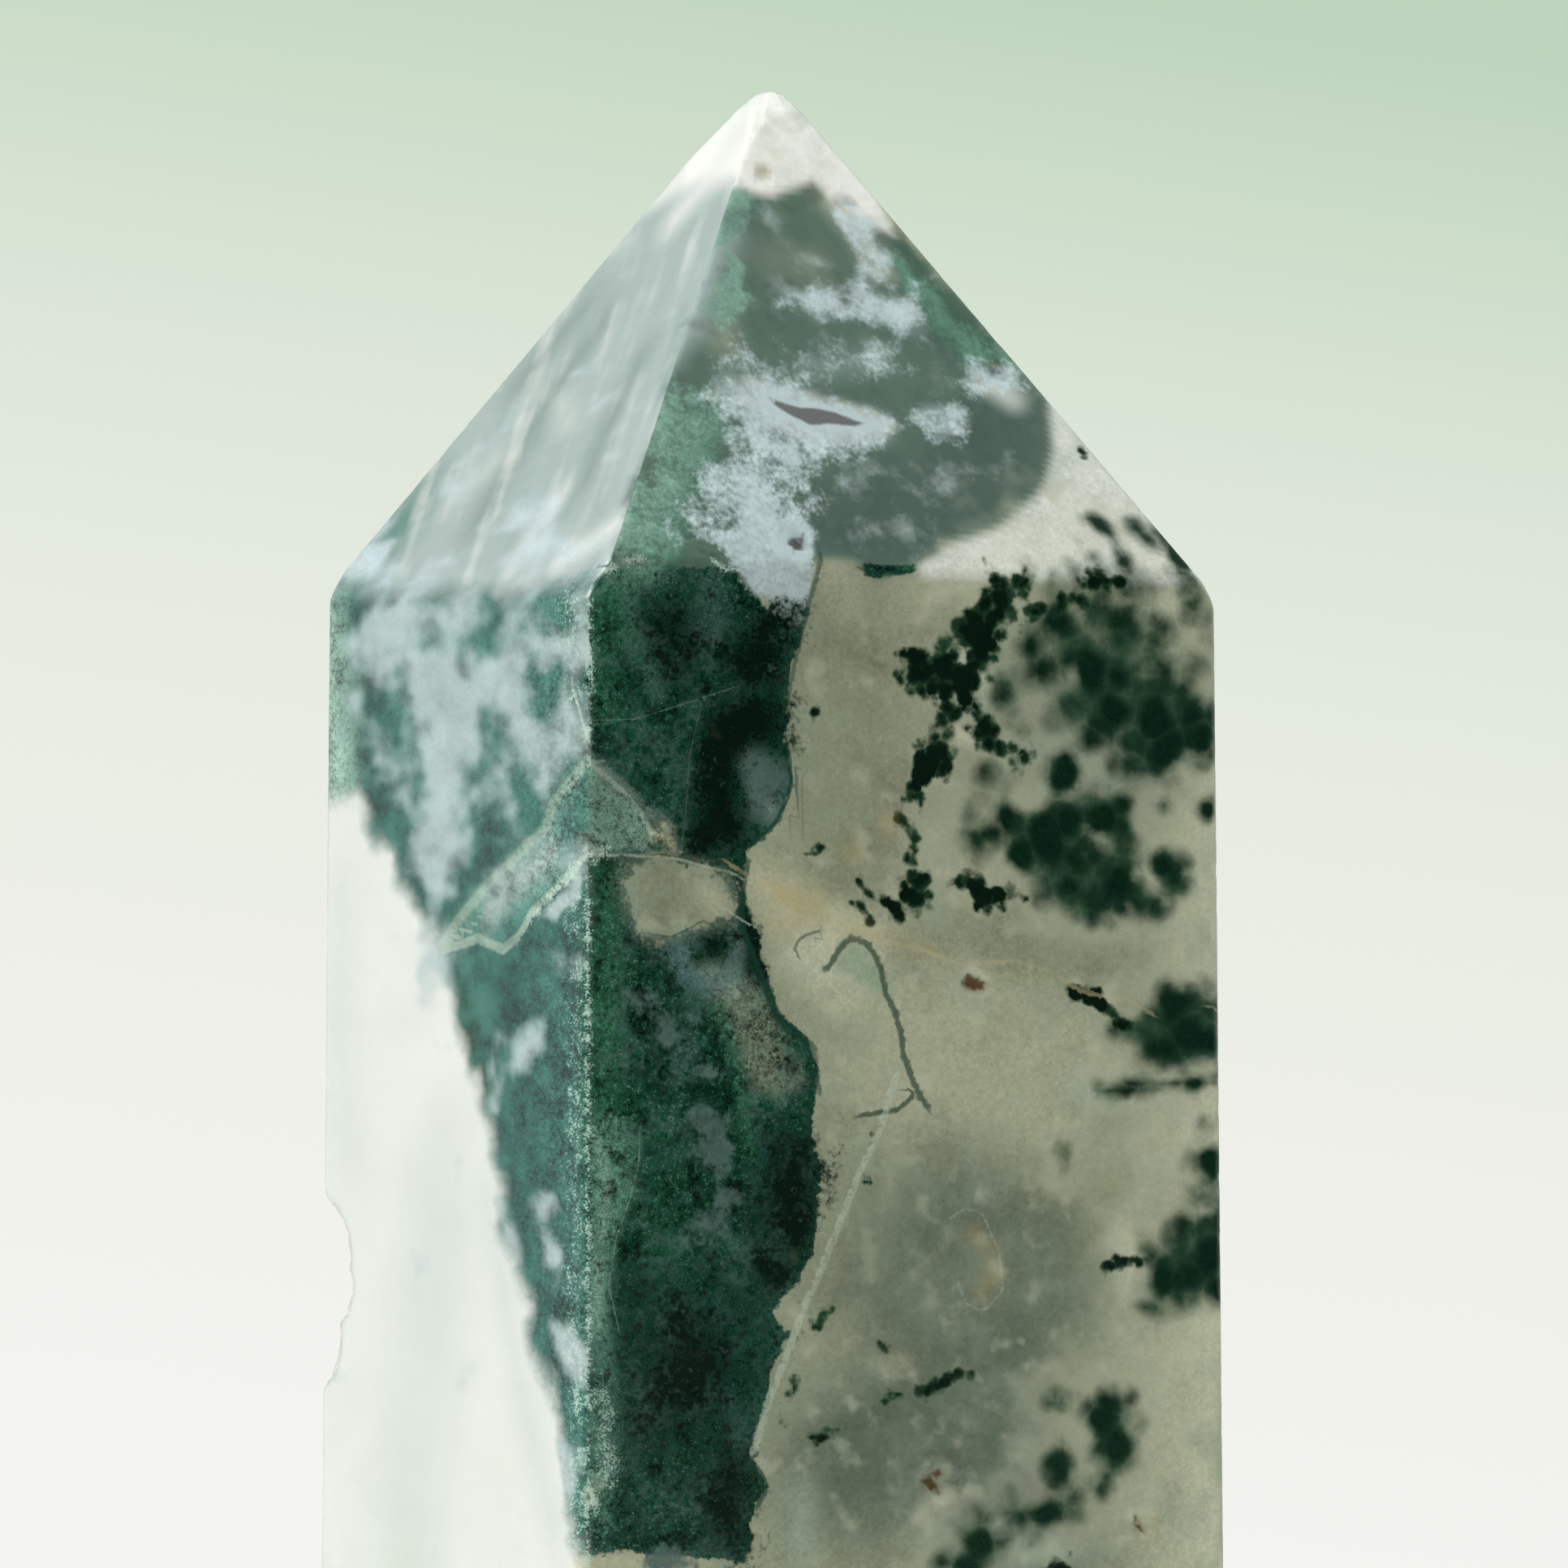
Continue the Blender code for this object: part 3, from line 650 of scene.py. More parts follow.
# Blue white chalcedony that clouds the green. The sheet lies on the left side only.
sheetOutlines = {
    "leftSheet": (6.0, [(440, 690), (620, 700), (716, 720), (716, 900), (700, 960), (640, 1010),
        (590, 1060), (560, 1080), (520, 1030), (500, 940), (470, 880), (450, 790)]),
    "leftSheetCore": (3.0, [(500, 745), (600, 740), (660, 760), (650, 830), (620, 900), (640, 950),
        (600, 1000), (560, 1020), (530, 960), (510, 880), (490, 800)]),
}
veilOutlines = {
    "leftSheetRight": (1.2, [(694, 850), (714, 866), (716, 930), (700, 955), (688, 900)]),
    "underCrack": (0.25, [(655, 1128), (675, 1110), (715, 1075), (716, 1110), (694, 1128), (685, 1142),
        (675, 1135)]),
    "lensFront": (0.35, [(866, 660), (920, 640), (1000, 660), (1010, 690), (1002, 735), (985, 772),
        (955, 765), (928, 730), (900, 690)]),
    "slopeCloud": (1.3, [(885, 520), (918, 470), (950, 485), (978, 560), (990, 620), (975, 672), (930, 665),
        (895, 640), (880, 580)]),
    "slopeCloudLow": (0.5, [(880, 650), (930, 625), (990, 630), (1008, 660), (1005, 695), (960, 700),
        (900, 690)]),
    "ringCloud": (0.7, [(900, 470), (960, 480), (1080, 505), (1110, 525), (1060, 545), (1000, 545),
        (930, 515)]),
    "ringRight": (0.45, [(1130, 510), (1185, 505), (1180, 525), (1150, 545)]),
    "streakHigh": (0.8, [(985, 372), (1050, 365), (1130, 385), (1120, 405), (1040, 392)]),
    "streakMiddle": (1.0, [(1000, 440), (1080, 425), (1095, 450), (1020, 465)]),
    "cornerRight": (0.5, [(1195, 455), (1240, 455), (1270, 480), (1240, 495), (1205, 490)]),
    "underTip": (0.8, [(1010, 240), (1050, 262), (1100, 300), (1110, 335), (1070, 330), (1030, 285)]),
    "blobMain": (0.35, [(846, 1372), (870, 1358), (900, 1360), (904, 1400), (897, 1438), (882, 1442),
        (866, 1415), (850, 1398)]),
    "blobTwo": (0.45, [(842, 1520), (865, 1502), (888, 1500), (880, 1520), (850, 1530)]),
    "blobThree": (0.30, [(885, 1470), (910, 1462), (915, 1478), (890, 1485)]),
    "blobHook": (0.45, [(922, 930), (945, 928), (962, 938), (968, 965), (955, 998), (935, 1022),
        (925, 1015), (918, 975)]),
    "besideBand": (0.5, [(908, 1150), (920, 1150), (926, 1180), (912, 1185)]),
    "whiteSpots": (0.7, [(655, 1262), (675, 1248), (678, 1262), (660, 1290), (645, 1310), (630, 1330),
        (635, 1290)]),
    "whiteSpotTwo": (0.7, [(600, 1325), (612, 1285), (605, 1340), (622, 1320), (610, 1360), (598, 1350)]),
    "whiteSpotThree": (0.5, [(631, 1380), (637, 1395), (642, 1408), (632, 1400)]),
    "whiteSpotFour": (0.6, [(665, 1465), (685, 1468), (690, 1490), (670, 1485)]),
    "whiteSpotFive": (0.6, [(676, 1530), (690, 1540), (688, 1565), (676, 1555)]),
    "arrisWhite": (0.7, [(684, 1640), (704, 1630), (716, 1660), (716, 1700), (700, 1705), (686, 1670)]),
    "foot": (0.35, [(690, 1780), (700, 1790), (712, 1860), (706, 1890), (698, 1850)]),
    "smallPair": (0.2, [(826, 1300), (860, 1306), (898, 1318), (880, 1336), (845, 1325)]),
    "bandFoot": (0.3, [(770, 1924), (830, 1905), (880, 1932), (800, 1940)]),
    "leftNotch": (0.6, [(610, 1480), (628, 1500), (640, 1540), (622, 1530)]),
    "wispOne": (0.3, [(808, 1253), (831, 1256), (836, 1290), (820, 1302), (812, 1280)]),
    "wispTwo": (0.4, [(769, 1226), (804, 1230), (800, 1261), (780, 1255)]),
    "sandPair": (0.2, [(846, 1249), (869, 1252), (866, 1262), (850, 1260)]),
}
veilWashes = {
    "lens": ("ice", 1.0, 0.0, 0.3, [(850, 620), (1020, 620), (1020, 745), (920, 745), (850, 700)]),
    "lensFoot": ("fog", 0.85, 0.3, 0.5, [(950, 748), (985, 765)]),
}
# Dark glassy places inside the band.
nightOutlines = {
    "main": (0.6, [(880, 862), (930, 850), (975, 862), (966, 905), (972, 925), (930, 925), (915, 945),
        (912, 985), (922, 1020), (915, 1048), (875, 1058), (842, 1052), (850, 1000), (852, 930),
        (862, 905)]),
    "low": (0.9, [(945, 1410), (1000, 1400), (1010, 1440), (1010, 1490), (1000, 1530), (975, 1570),
        (955, 1540), (930, 1500), (938, 1450)]),
    "topRight": (0.9, [(935, 740), (985, 745), (975, 800), (955, 850), (900, 850), (880, 800)]),
    "topMiddle": (0.9, [(790, 760), (840, 740), (870, 800), (840, 845), (810, 810)]),
    "patch": (0.25, [(863, 1151), (888, 1148), (893, 1165), (888, 1184), (866, 1182)]),
    "blueDot": (0.2, [(916, 1192), (926, 1190), (931, 1200), (924, 1208), (916, 1204)]),
    "dots": (0.2, [(842, 1336), (856, 1334), (875, 1338), (892, 1342), (890, 1353), (868, 1352),
        (846, 1346)]),
    "rightEdge": (0.25, [(905, 1110), (920, 1118), (935, 1150), (948, 1200), (940, 1210), (922, 1195),
        (915, 1150)]),
    "foot": (1.0, [(880, 1780), (925, 1790), (930, 1850), (920, 1910), (880, 1900), (860, 1850)]),
    "bandMiddle": (1.8, [(790, 1600), (900, 1600), (920, 1680), (900, 1760), (790, 1760)]),
    "rightLow": (0.5, [(930, 1540), (985, 1560), (960, 1600), (930, 1590)]),
    "darkSpot": (0.15, [(964, 1305), (978, 1302), (982, 1322), (968, 1326)]),
}
# Fine lines: (half width in mm, strength, the points they pass).
darkLines = {
    "bandRim": (0.11, 0.7, [(1011, 684), (999, 735), (986, 785), (972, 850), (966, 880)]),
    "hookLine": (0.075, 0.9, [(967, 905), (972, 930), (976, 966), (968, 990), (955, 1015), (925, 1042),
        (905, 1055)]),
    "rimMiddle": (0.14, 0.9, [(921, 1062), (915, 1090), (915, 1145), (931, 1184), (954, 1245), (969, 1268),
        (992, 1280), (1004, 1299), (1008, 1345)]),
    "loop": (0.13, 0.9, [(1018, 1194), (1028, 1180), (1038, 1162), (1050, 1155), (1068, 1162), (1080, 1180),
        (1090, 1210)]),
    "loopSide": (0.13, 0.9, [(1088, 1205), (1091, 1222), (1104, 1250), (1110, 1272), (1113, 1300),
        (1123, 1325), (1134, 1350), (1145, 1366)]),
    "hook": (0.06, 0.7, [(984, 1178), (978, 1166), (990, 1154), (1008, 1146)]),
    "dotted": (0.05, 0.3, [(988, 958), (989, 1005), (990, 1030)]),
    "loopFoot": (0.10, 0.9, [(1060, 1374), (1080, 1371), (1105, 1369), (1124, 1352)]),
    "rimLow": (0.08, 0.7, [(1002, 1290), (999, 1345), (996, 1400)]),
    "crackLine": (0.035, 0.7, [(771, 1050), (800, 1050), (835, 1056), (870, 1063), (900, 1066)]),
    "creamContour": (0.045, 0.6, [(792, 1149), (827, 1155), (854, 1142), (865, 1134), (892, 1147),
        (899, 1165), (888, 1192)]),
    "lowRing": (0.04, 0.4, [(850, 1312), (872, 1302), (892, 1312), (900, 1332), (886, 1350), (860, 1350),
        (842, 1334)]),
    "lipLine": (0.10, 0.8, [(1060, 700), (1085, 709), (1125, 703)]),
    "footRim": (0.12, 0.9, [(925, 1800), (940, 1820), (945, 1835), (932, 1856)]),
}
paleLines = {
    "ledge": (0.24, 0.4, [(540, 1168), (565, 1132), (590, 1101), (633, 1059), (666, 1025), (679, 991),
        (708, 954), (723, 935)]),
    "ledgeFront": (0.11, 0.5, [(723, 935), (742, 954), (771, 979), (792, 1004), (806, 1030)]),
    "crumbly": (0.20, 0.6, [(544, 1170), (590, 1156), (620, 1170), (637, 1156), (654, 1126), (675, 1105),
        (700, 1080), (717, 1059), (721, 1046), (735, 1050)]),
    "crumblyFront": (0.06, 0.4, [(735, 1055), (771, 1053), (835, 1058), (870, 1068), (902, 1075),
        (930, 1092)]),
    "healed": (0.022, 0.22, [(729, 888), (784, 886), (843, 867), (902, 848)]),
    "healedDown": (0.018, 0.15, [(864, 869), (850, 930), (845, 1000), (839, 1052)]),
    "arrisChip": (0.10, 0.8, [(706, 850), (712, 868), (718, 892), (724, 915)]),
    "arrisCrumb": (0.05, 0.6, [(722, 790), (727, 815), (728, 848)]),
    "fracture": (0.15, 0.55, [(1105, 1325), (1085, 1390), (1056, 1454), (1023, 1536), (994, 1605),
        (974, 1659), (945, 1732), (929, 1790)]),
    "scarRing": (0.05, 0.3, [(1172, 1500), (1188, 1490), (1212, 1494), (1232, 1540), (1236, 1590),
        (1212, 1616), (1190, 1606), (1180, 1580)]),
    "paleEdge": (0.03, 0.25, [(788, 1387), (788, 1429), (776, 1479), (759, 1526), (750, 1585), (763, 1640)]),
    "neckLine": (0.05, 0.6, [(895, 1122), (925, 1140)]),
}
goldLines = {
    "vein": (0.08, 0.6, [(895, 1062), (923, 1080), (951, 1091), (1003, 1119), (1058, 1147), (1090, 1160),
        (1137, 1170), (1185, 1190), (1215, 1186), (1250, 1184), (1295, 1198), (1335, 1222), (1394, 1234),
        (1420, 1250)]),
    "veinTwo": (0.05, 0.4, [(1190, 1192), (1250, 1206), (1300, 1212)]),
    "veinThree": (0.04, 0.5, [(930, 1090), (975, 1115), (1010, 1128)]),
}
# Rusty stains and rubbed places: (strength, half width and softness in mm, the points
# they pass). A pit spot has only its half width and its points.
stains = {
    "veinHead": (0.75, 0.45, 0.5, [(965, 1105), (1005, 1118)]),
    "veinHeadTwo": (0.55, 0.35, 0.5, [(960, 1138), (970, 1142)]),
    "veinMiddle": (0.35, 0.2, 0.5, [(1050, 1145), (1150, 1172)]),
    "matrixStain": (0.45, 0.35, 0.5, [(1050, 1048)]),
    "matrixStainTwo": (0.40, 0.3, 0.5, [(1091, 1022), (1095, 1000)]),
    "orangeDot": (0.55, 0.12, 0.2, [(1365, 1458)]),
    "scarOrange": (0.45, 0.25, 0.45, [(1200, 1520), (1222, 1540), (1224, 1575), (1210, 1590)]),
    "pitHalo": (0.45, 0.3, 0.6, [(1420, 1880)]),
    "cStain": (0.3, 0.08, 0.2, [(1394, 1044)]),
    "smallOne": (0.5, 0.06, 0.1, [(1080, 820)]),
    "smallTwo": (0.5, 0.06, 0.1, [(1104, 935)]),
    "tan": (0.3, 0.05, 0.12, [(878, 901), (886, 902)]),
    "bandTan": (0.4, 0.06, 0.2, [(976, 1548)]),
    "bandTanTwo": (0.5, 0.07, 0.15, [(982, 1628)]),
    "tipStain": (0.5, 0.2, 0.3, [(935, 208), (945, 208)]),
    "tipStainTwo": (0.55, 0.12, 0.2, [(1030, 250), (1045, 262)]),
    "slopeStain": (0.5, 0.12, 0.2, [(1226, 450)]),
    "crackRust": (0.35, 0.04, 0.1, [(800, 1052), (860, 1060)]),
}
pitSpots = {
    "high": (0.24, [(1196, 1209), (1208, 1214)]),
    "low": (0.17, [(1160, 1815), (1152, 1826), (1160, 1838)]),
    "lowArm": (0.09, [(1140, 1826), (1150, 1825)]),
    "right": (0.12, [(1402, 1872), (1412, 1886)]),
    "arrisPit": (0.09, [(722, 1844)]),
    "arrisPitTwo": (0.05, [(738, 1827)]),
    "dot": (0.035, [(802, 1142)]),
    "scarDot": (0.04, [(1213, 1527)]),
    "scarDotTwo": (0.04, [(1228, 1559)]),
}
scuffs = {
    "arris": (0.84, 0.18, 0.34, [(722, 1080), (722, 1932)]),
    "arrisTop": (0.75, 0.14, 0.35, [(724, 740), (724, 940)]),
    "crumbs": (1.0, 0.22, 0.35, [(650, 1130), (675, 1106), (700, 1080), (717, 1060), (745, 1052)]),
    "besideArris": (0.62, 0.4, 1.8, [(706, 1120), (712, 1300), (708, 1560), (712, 1760), (712, 1900)]),
    "besideArrisTop": (0.5, 0.8, 1.3, [(700, 745), (706, 840)]),
    "whiteStreak": (0.75, 0.35, 0.8, [(708, 1560), (702, 1690)]),
    "frontLow": (0.7, 0.4, 0.7, [(740, 1702), (745, 1820)]),
    "shoulderCrumbs": (1.0, 0.22, 0.2, [(742, 706), (752, 700)]),
    "shoulderFlake": (1.0, 0.20, 0.2, [(772, 690), (790, 688)]),
    "arrisPits": (1.0, 0.22, 0.25, [(726, 1840), (735, 1855)]),
    "leftCrack": (1.0, 0.2, 0.25, [(700, 1085), (715, 1062)]),
    "flakeOnSlope": (1.0, 0.10, 0.15, [(880, 690), (890, 700), (908, 702)]),
}
# Dark openings in the front slope.
eyes = {
    "slit": (0.0, [(944, 488), (960, 494), (985, 502), (1005, 503), (1030, 508), (1052, 517), (1073, 524),
        (1050, 525), (1020, 522), (1000, 524), (975, 512), (958, 502)]),
    "star": (0.0, [(973, 662), (982, 664), (993, 653), (991, 668), (994, 678), (984, 678), (978, 684),
        (976, 674), (968, 670)]),
}

# The sides that the photo doesn't show, with marks of the same kinds. Places here are
# mm across and mm up on the sheet. A clump is (mm across, mm up, half width).
hidden = {
    "clumps": (
        (31.0, 65.5, 2.0), (38.5, 58.5, 2.6), (29.4, 52.6, 1.3), (30.2, 43.8, 1.6), (41.0, 43.5, 3.0),
        (31.5, 31.0, 2.2), (44.5, 22.0, 2.6), (30.0, 14.0, 2.4), (37.0, 73.5, 1.5), (38.0, 6.5, 1.6),
        (-32.5, 49.0, 2.4), (-43.0, 60.5, 2.8), (-46.5, 36.5, 2.5), (-34.0, 33.0, 1.8), (-40.5, 14.0, 2.6),
        (-33.0, 6.0, 1.4), (-38.0, 75.0, 1.6), (6.5, 27.5, 1.8), (19.5, 29.0, 2.4), (13.0, 12.5, 2.6),
        (23.0, 17.0, 2.0), (3.5, 6.5, 1.7), (-8.0, 22.0, 1.0), (-17.0, 28.0, 1.2),
    ),
    "beadsInClump": 18,
    "seed": 11,
    "beadPlace": (0.1, 1.7),  # shares of the clump's half width, as the bead's own half is
    "beadHalf": (0.14, 0.46),
    "beadSoft": (0.25, 0.5),
    "deepSoft": 2.4,
    "clumpFlat": 0.9,
    "bands": {
        "lowLeft": (0.0, [(-26.6, 21), (-21, 16), (-15, 9), (-11, 2), (-9, -2), (-17, -2), (-22, 3),
            (-26.6, 9), (-33, 14), (-37, 19), (-40, 25), (-38, 29), (-33, 27), (-29, 24)]),
        "rightEdge": (0.0, [(54, 72), (48, 69), (45.5, 63), (46.5, 58), (44, 53), (45, 48), (48, 44),
            (54, 42)]),
        "backEdge": (0.0, [(-55, 72), (-50, 68), (-49, 61), (-50.5, 54), (-49, 48), (-50, 43), (-55, 41)]),
        "backTop": (0.0, [(-26, 69), (-30, 73), (-35, 72), (-36, 67), (-33, 64), (-31, 59), (-28, 57),
            (-26, 60)]),
        "backMiddle": (0.0, [(-55, 34), (-49, 33), (-45, 29), (-43, 23), (-45, 18), (-49, 15), (-50, 9),
            (-55, 7)]),
        "rightFoot": (0.0, [(25, 19), (29, 18), (33, 13), (34, 7), (38, 3), (39, -2), (25, -2)]),
    },
    "veils": {
        "lowLeft": (0.6, [(-25, 17), (-20, 13), (-16, 6), (-19, 5), (-25, 10)]),
        "lowBack": (0.6, [(-29, 20), (-34, 25), (-36, 23), (-32, 17)]),
        "right": (0.6, [(50, 66), (48, 62), (49, 55), (51, 55)]),
        "backMiddle": (0.6, [(-50, 29), (-47, 27), (-46, 22), (-49, 20), (-51, 24)]),
        "rightFoot": (0.6, [(28, 13), (31, 9), (32, 3), (29, 4)]),
    },
    "nights": {
        "lowLeft": (0.5, [(-15, 7), (-12, 1), (-15, 0), (-17, 5)]),
        "right": (0.5, [(48, 52), (46.5, 49), (49, 46), (51, 48)]),
        "back": (0.5, [(-51, 60), (-50.5, 50), (-52, 46), (-53, 60)]),
    },
    "darkLines": {
        "one": (0.08, 0.7, [(33, 52), (34.5, 49), (34, 46), (36, 43)]),
        "two": (0.07, 0.7, [(29, 27), (31, 24.5), (34, 24), (36, 21.5)]),
        "three": (0.08, 0.7, [(-36, 45), (-39, 43.5), (-41, 40)]),
        "four": (0.08, 0.7, [(8, 20), (11, 18), (12, 15)]),
    },
    "paleLines": {
        "one": (0.07, 0.7, [(28, 38), (34, 36), (40, 37), (46, 34)]),
        "two": (0.07, 0.7, [(-28, 56), (-35, 54), (-41, 50), (-48, 49)]),
        "three": (0.06, 0.7, [(6, 33), (4.5, 25), (2, 18)]),
    },
    "goldLines": {
        "one": (0.06, 0.7, [(25.2, 53.5), (29, 52.5), (33, 50.5)]),
        "two": (0.06, 0.7, [(-30, 12), (-36, 10), (-42, 7)]),
    },
}

# Limits of the marks' fields: a line's distance in mm and in half widths, and then the
# lowest, highest and widest value in steps of each mark's softness.
limits = {
    "farAway": 9.0, "widest": 60.0, "lineMargin": 4, "leastMargin": 0.6, "lineEnd": 0.3,
    "floor": -5.0, "top": 3.0, "steps": 5, "clusterTop": 1.0,
}


def lineReach(places, points):
    # distance from a line through the points, signed by its side, and how far past an end
    nearest = np.full(len(places), limits["farAway"])
    side = np.ones(len(places))
    past = np.zeros(len(places))
    last = len(points) - 2
    for k, (start, end) in enumerate(zip(points[:-1], points[1:])):
        run = end - start
        length = math.hypot(*run)
        away = places - start
        share = away @ run / length ** 2
        inside = np.clip(share, 0, 1)
        gap = np.hypot(*(away - inside[:, None] * run).T)
        closer = gap < nearest
        turn = run[0] * away[:, 1] - run[1] * away[:, 0]
        over = np.zeros(len(places))
        if k == 0:
            over = np.maximum(over, -share * length)
        if k == last:
            over = np.maximum(over, (share - 1) * length)
        nearest = np.where(closer, gap, nearest)
        side = np.where(closer, np.where(turn < 0, -1.0, 1.0), side)
        past = np.where(closer, over, past)
    return nearest, side, past


def beadReach(places, points, half):
    # how far inside a line or a single round bead of some half width each place is
    if len(points) == 1:
        return half - np.hypot(*(places - points[0]).T)
    return half - lineReach(places, points)[0]


def fillReach(places, points):
    # how far inside an outline each place is
    loop = np.vstack((points, points[:1]))
    gap = lineReach(places, loop)[0]
    inside = np.zeros(len(places), bool)
    for start, end in zip(loop[:-1], loop[1:]):
        crosses = (start[1] > places[:, 1]) != (end[1] > places[:, 1])
        rise = end[1] - start[1]
        at = start[0] + (places[:, 1] - start[1]) / (rise if abs(rise) > 1e-9 else 1e-9) * (end[0] - start[0])
        inside ^= crosses & (places[:, 0] < at)
    return np.where(inside, gap, -gap)


def nearby(places, points, margin):
    low, high = points.min(0) - margin, points.max(0) + margin
    return np.flatnonzero(((places > low) & (places < high)).all(1))


def washOver(layer, places, washes):
    for colour, strength, half, soft, points in washes.values():
        spots = photoPlaces(points)
        close = nearby(places, spots, half + soft)
        near = places[close]
        reach = beadReach(near, spots, half) if half else fillReach(near, spots)
        mask = (ease(-soft, soft, reach) * strength)[:, None]
        layer[close] += (np.array(palette[colour]) - layer[close]) * mask


def growField(places, outlines=None, beads=None, asPhoto=True, field=None):
    # joins outlines and beads in one field: above 0 inside, in steps of their softness
    floor, top = limits["floor"], limits["top"]
    field = np.full(len(places), floor) if field is None else field
    for soft, points in (outlines or {}).values():
        spots = photoPlaces(points) if asPhoto else np.array(points, float)
        soft = soft or 1.0
        close = nearby(places, spots, soft * limits["steps"])
        reach = fillReach(places[close], spots) / soft
        field[close] = np.maximum(field[close], np.clip(reach, floor, top))
    for half, soft, points in (beads or {}).values():
        spots = photoPlaces(points) if asPhoto else np.array(points, float)
        close = nearby(places, spots, half + soft * limits["steps"])
        reach = beadReach(places[close], spots, half) / soft
        field[close] = np.maximum(field[close], np.clip(reach, floor, top))
    return field


def lineFields(places, photoLines, sheetLines):
    # signed distance from the nearest line in its half widths, and where it counts
    widest = limits["widest"]
    across = np.full(len(places), widest)
    shown = np.zeros(len(places))
    jobs = [(half, strength, photoPlaces(points)) for half, strength, points in photoLines.values()]
    jobs += [(half, strength, np.array(points, float)) for half, strength, points in sheetLines.values()]
    for half, strength, spots in jobs:
        margin = max(half * limits["lineMargin"], limits["leastMargin"])
        close = nearby(places, spots, margin)
        gap, side, past = lineReach(places[close], spots)
        better = gap / half < np.abs(across[close])
        across[close] = np.where(better, np.clip(side * gap / half, -widest, widest), across[close])
        fade = ease(limits["lineEnd"], 0.0, past) * ease(margin, margin * 0.5, gap) * strength
        shown[close] = np.where(better, fade, shown[close])
    return across, shown


def clumpBeads():
    # small beads thrown round each clump's middle: near the surface, and deeper ones
    near, deep = {}, {}
    throw = np.random.default_rng(hidden["seed"])
    for k, (across, upward, half) in enumerate(hidden["clumps"]):
        for j in range(hidden["beadsInClump"]):
            angle = throw.uniform(0, 2 * math.pi)
            reach = half * throw.uniform(*hidden["beadPlace"])
            spot = (across + reach * math.cos(angle), upward + reach * math.sin(angle) * hidden["clumpFlat"])
            beads = deep if k % 2 else near
            soft = throw.uniform(*hidden["beadSoft"]) * (hidden["deepSoft"] if k % 2 else 1.0)
            beads[k, j] = (half * throw.uniform(*hidden["beadHalf"]), soft, [spot])
    return near, deep


# How the ground and the sharpness of its pattern change round the stone: where each
# change begins and ends, in mm across or up the sheet, and its share. The front wall's
# ground and green are painted darker than the left wall's, partly as painted shade and
# partly as their own greyer tone; the right and back sides get part of this painted shade.
turns = {
    "front": (-0.6, 0.6), "right": (30, 40), "rightLoss": 0.55, "back": (-26, -28), "backShade": 0.45,
    "paleShare": 0.35, "teal": (0.2, -0.2), "slope": (-0.4, 0.2),
    "mist": (-1.0, -9.0), "mistEnd": (-22.0, -27.0), "mistLoss": 0.65, "tip": (70.0, 88.0), "tipLoss": 0.6,
    "maskEdge": (-0.5, 0.5), "pitSoftness": 0.14,
}


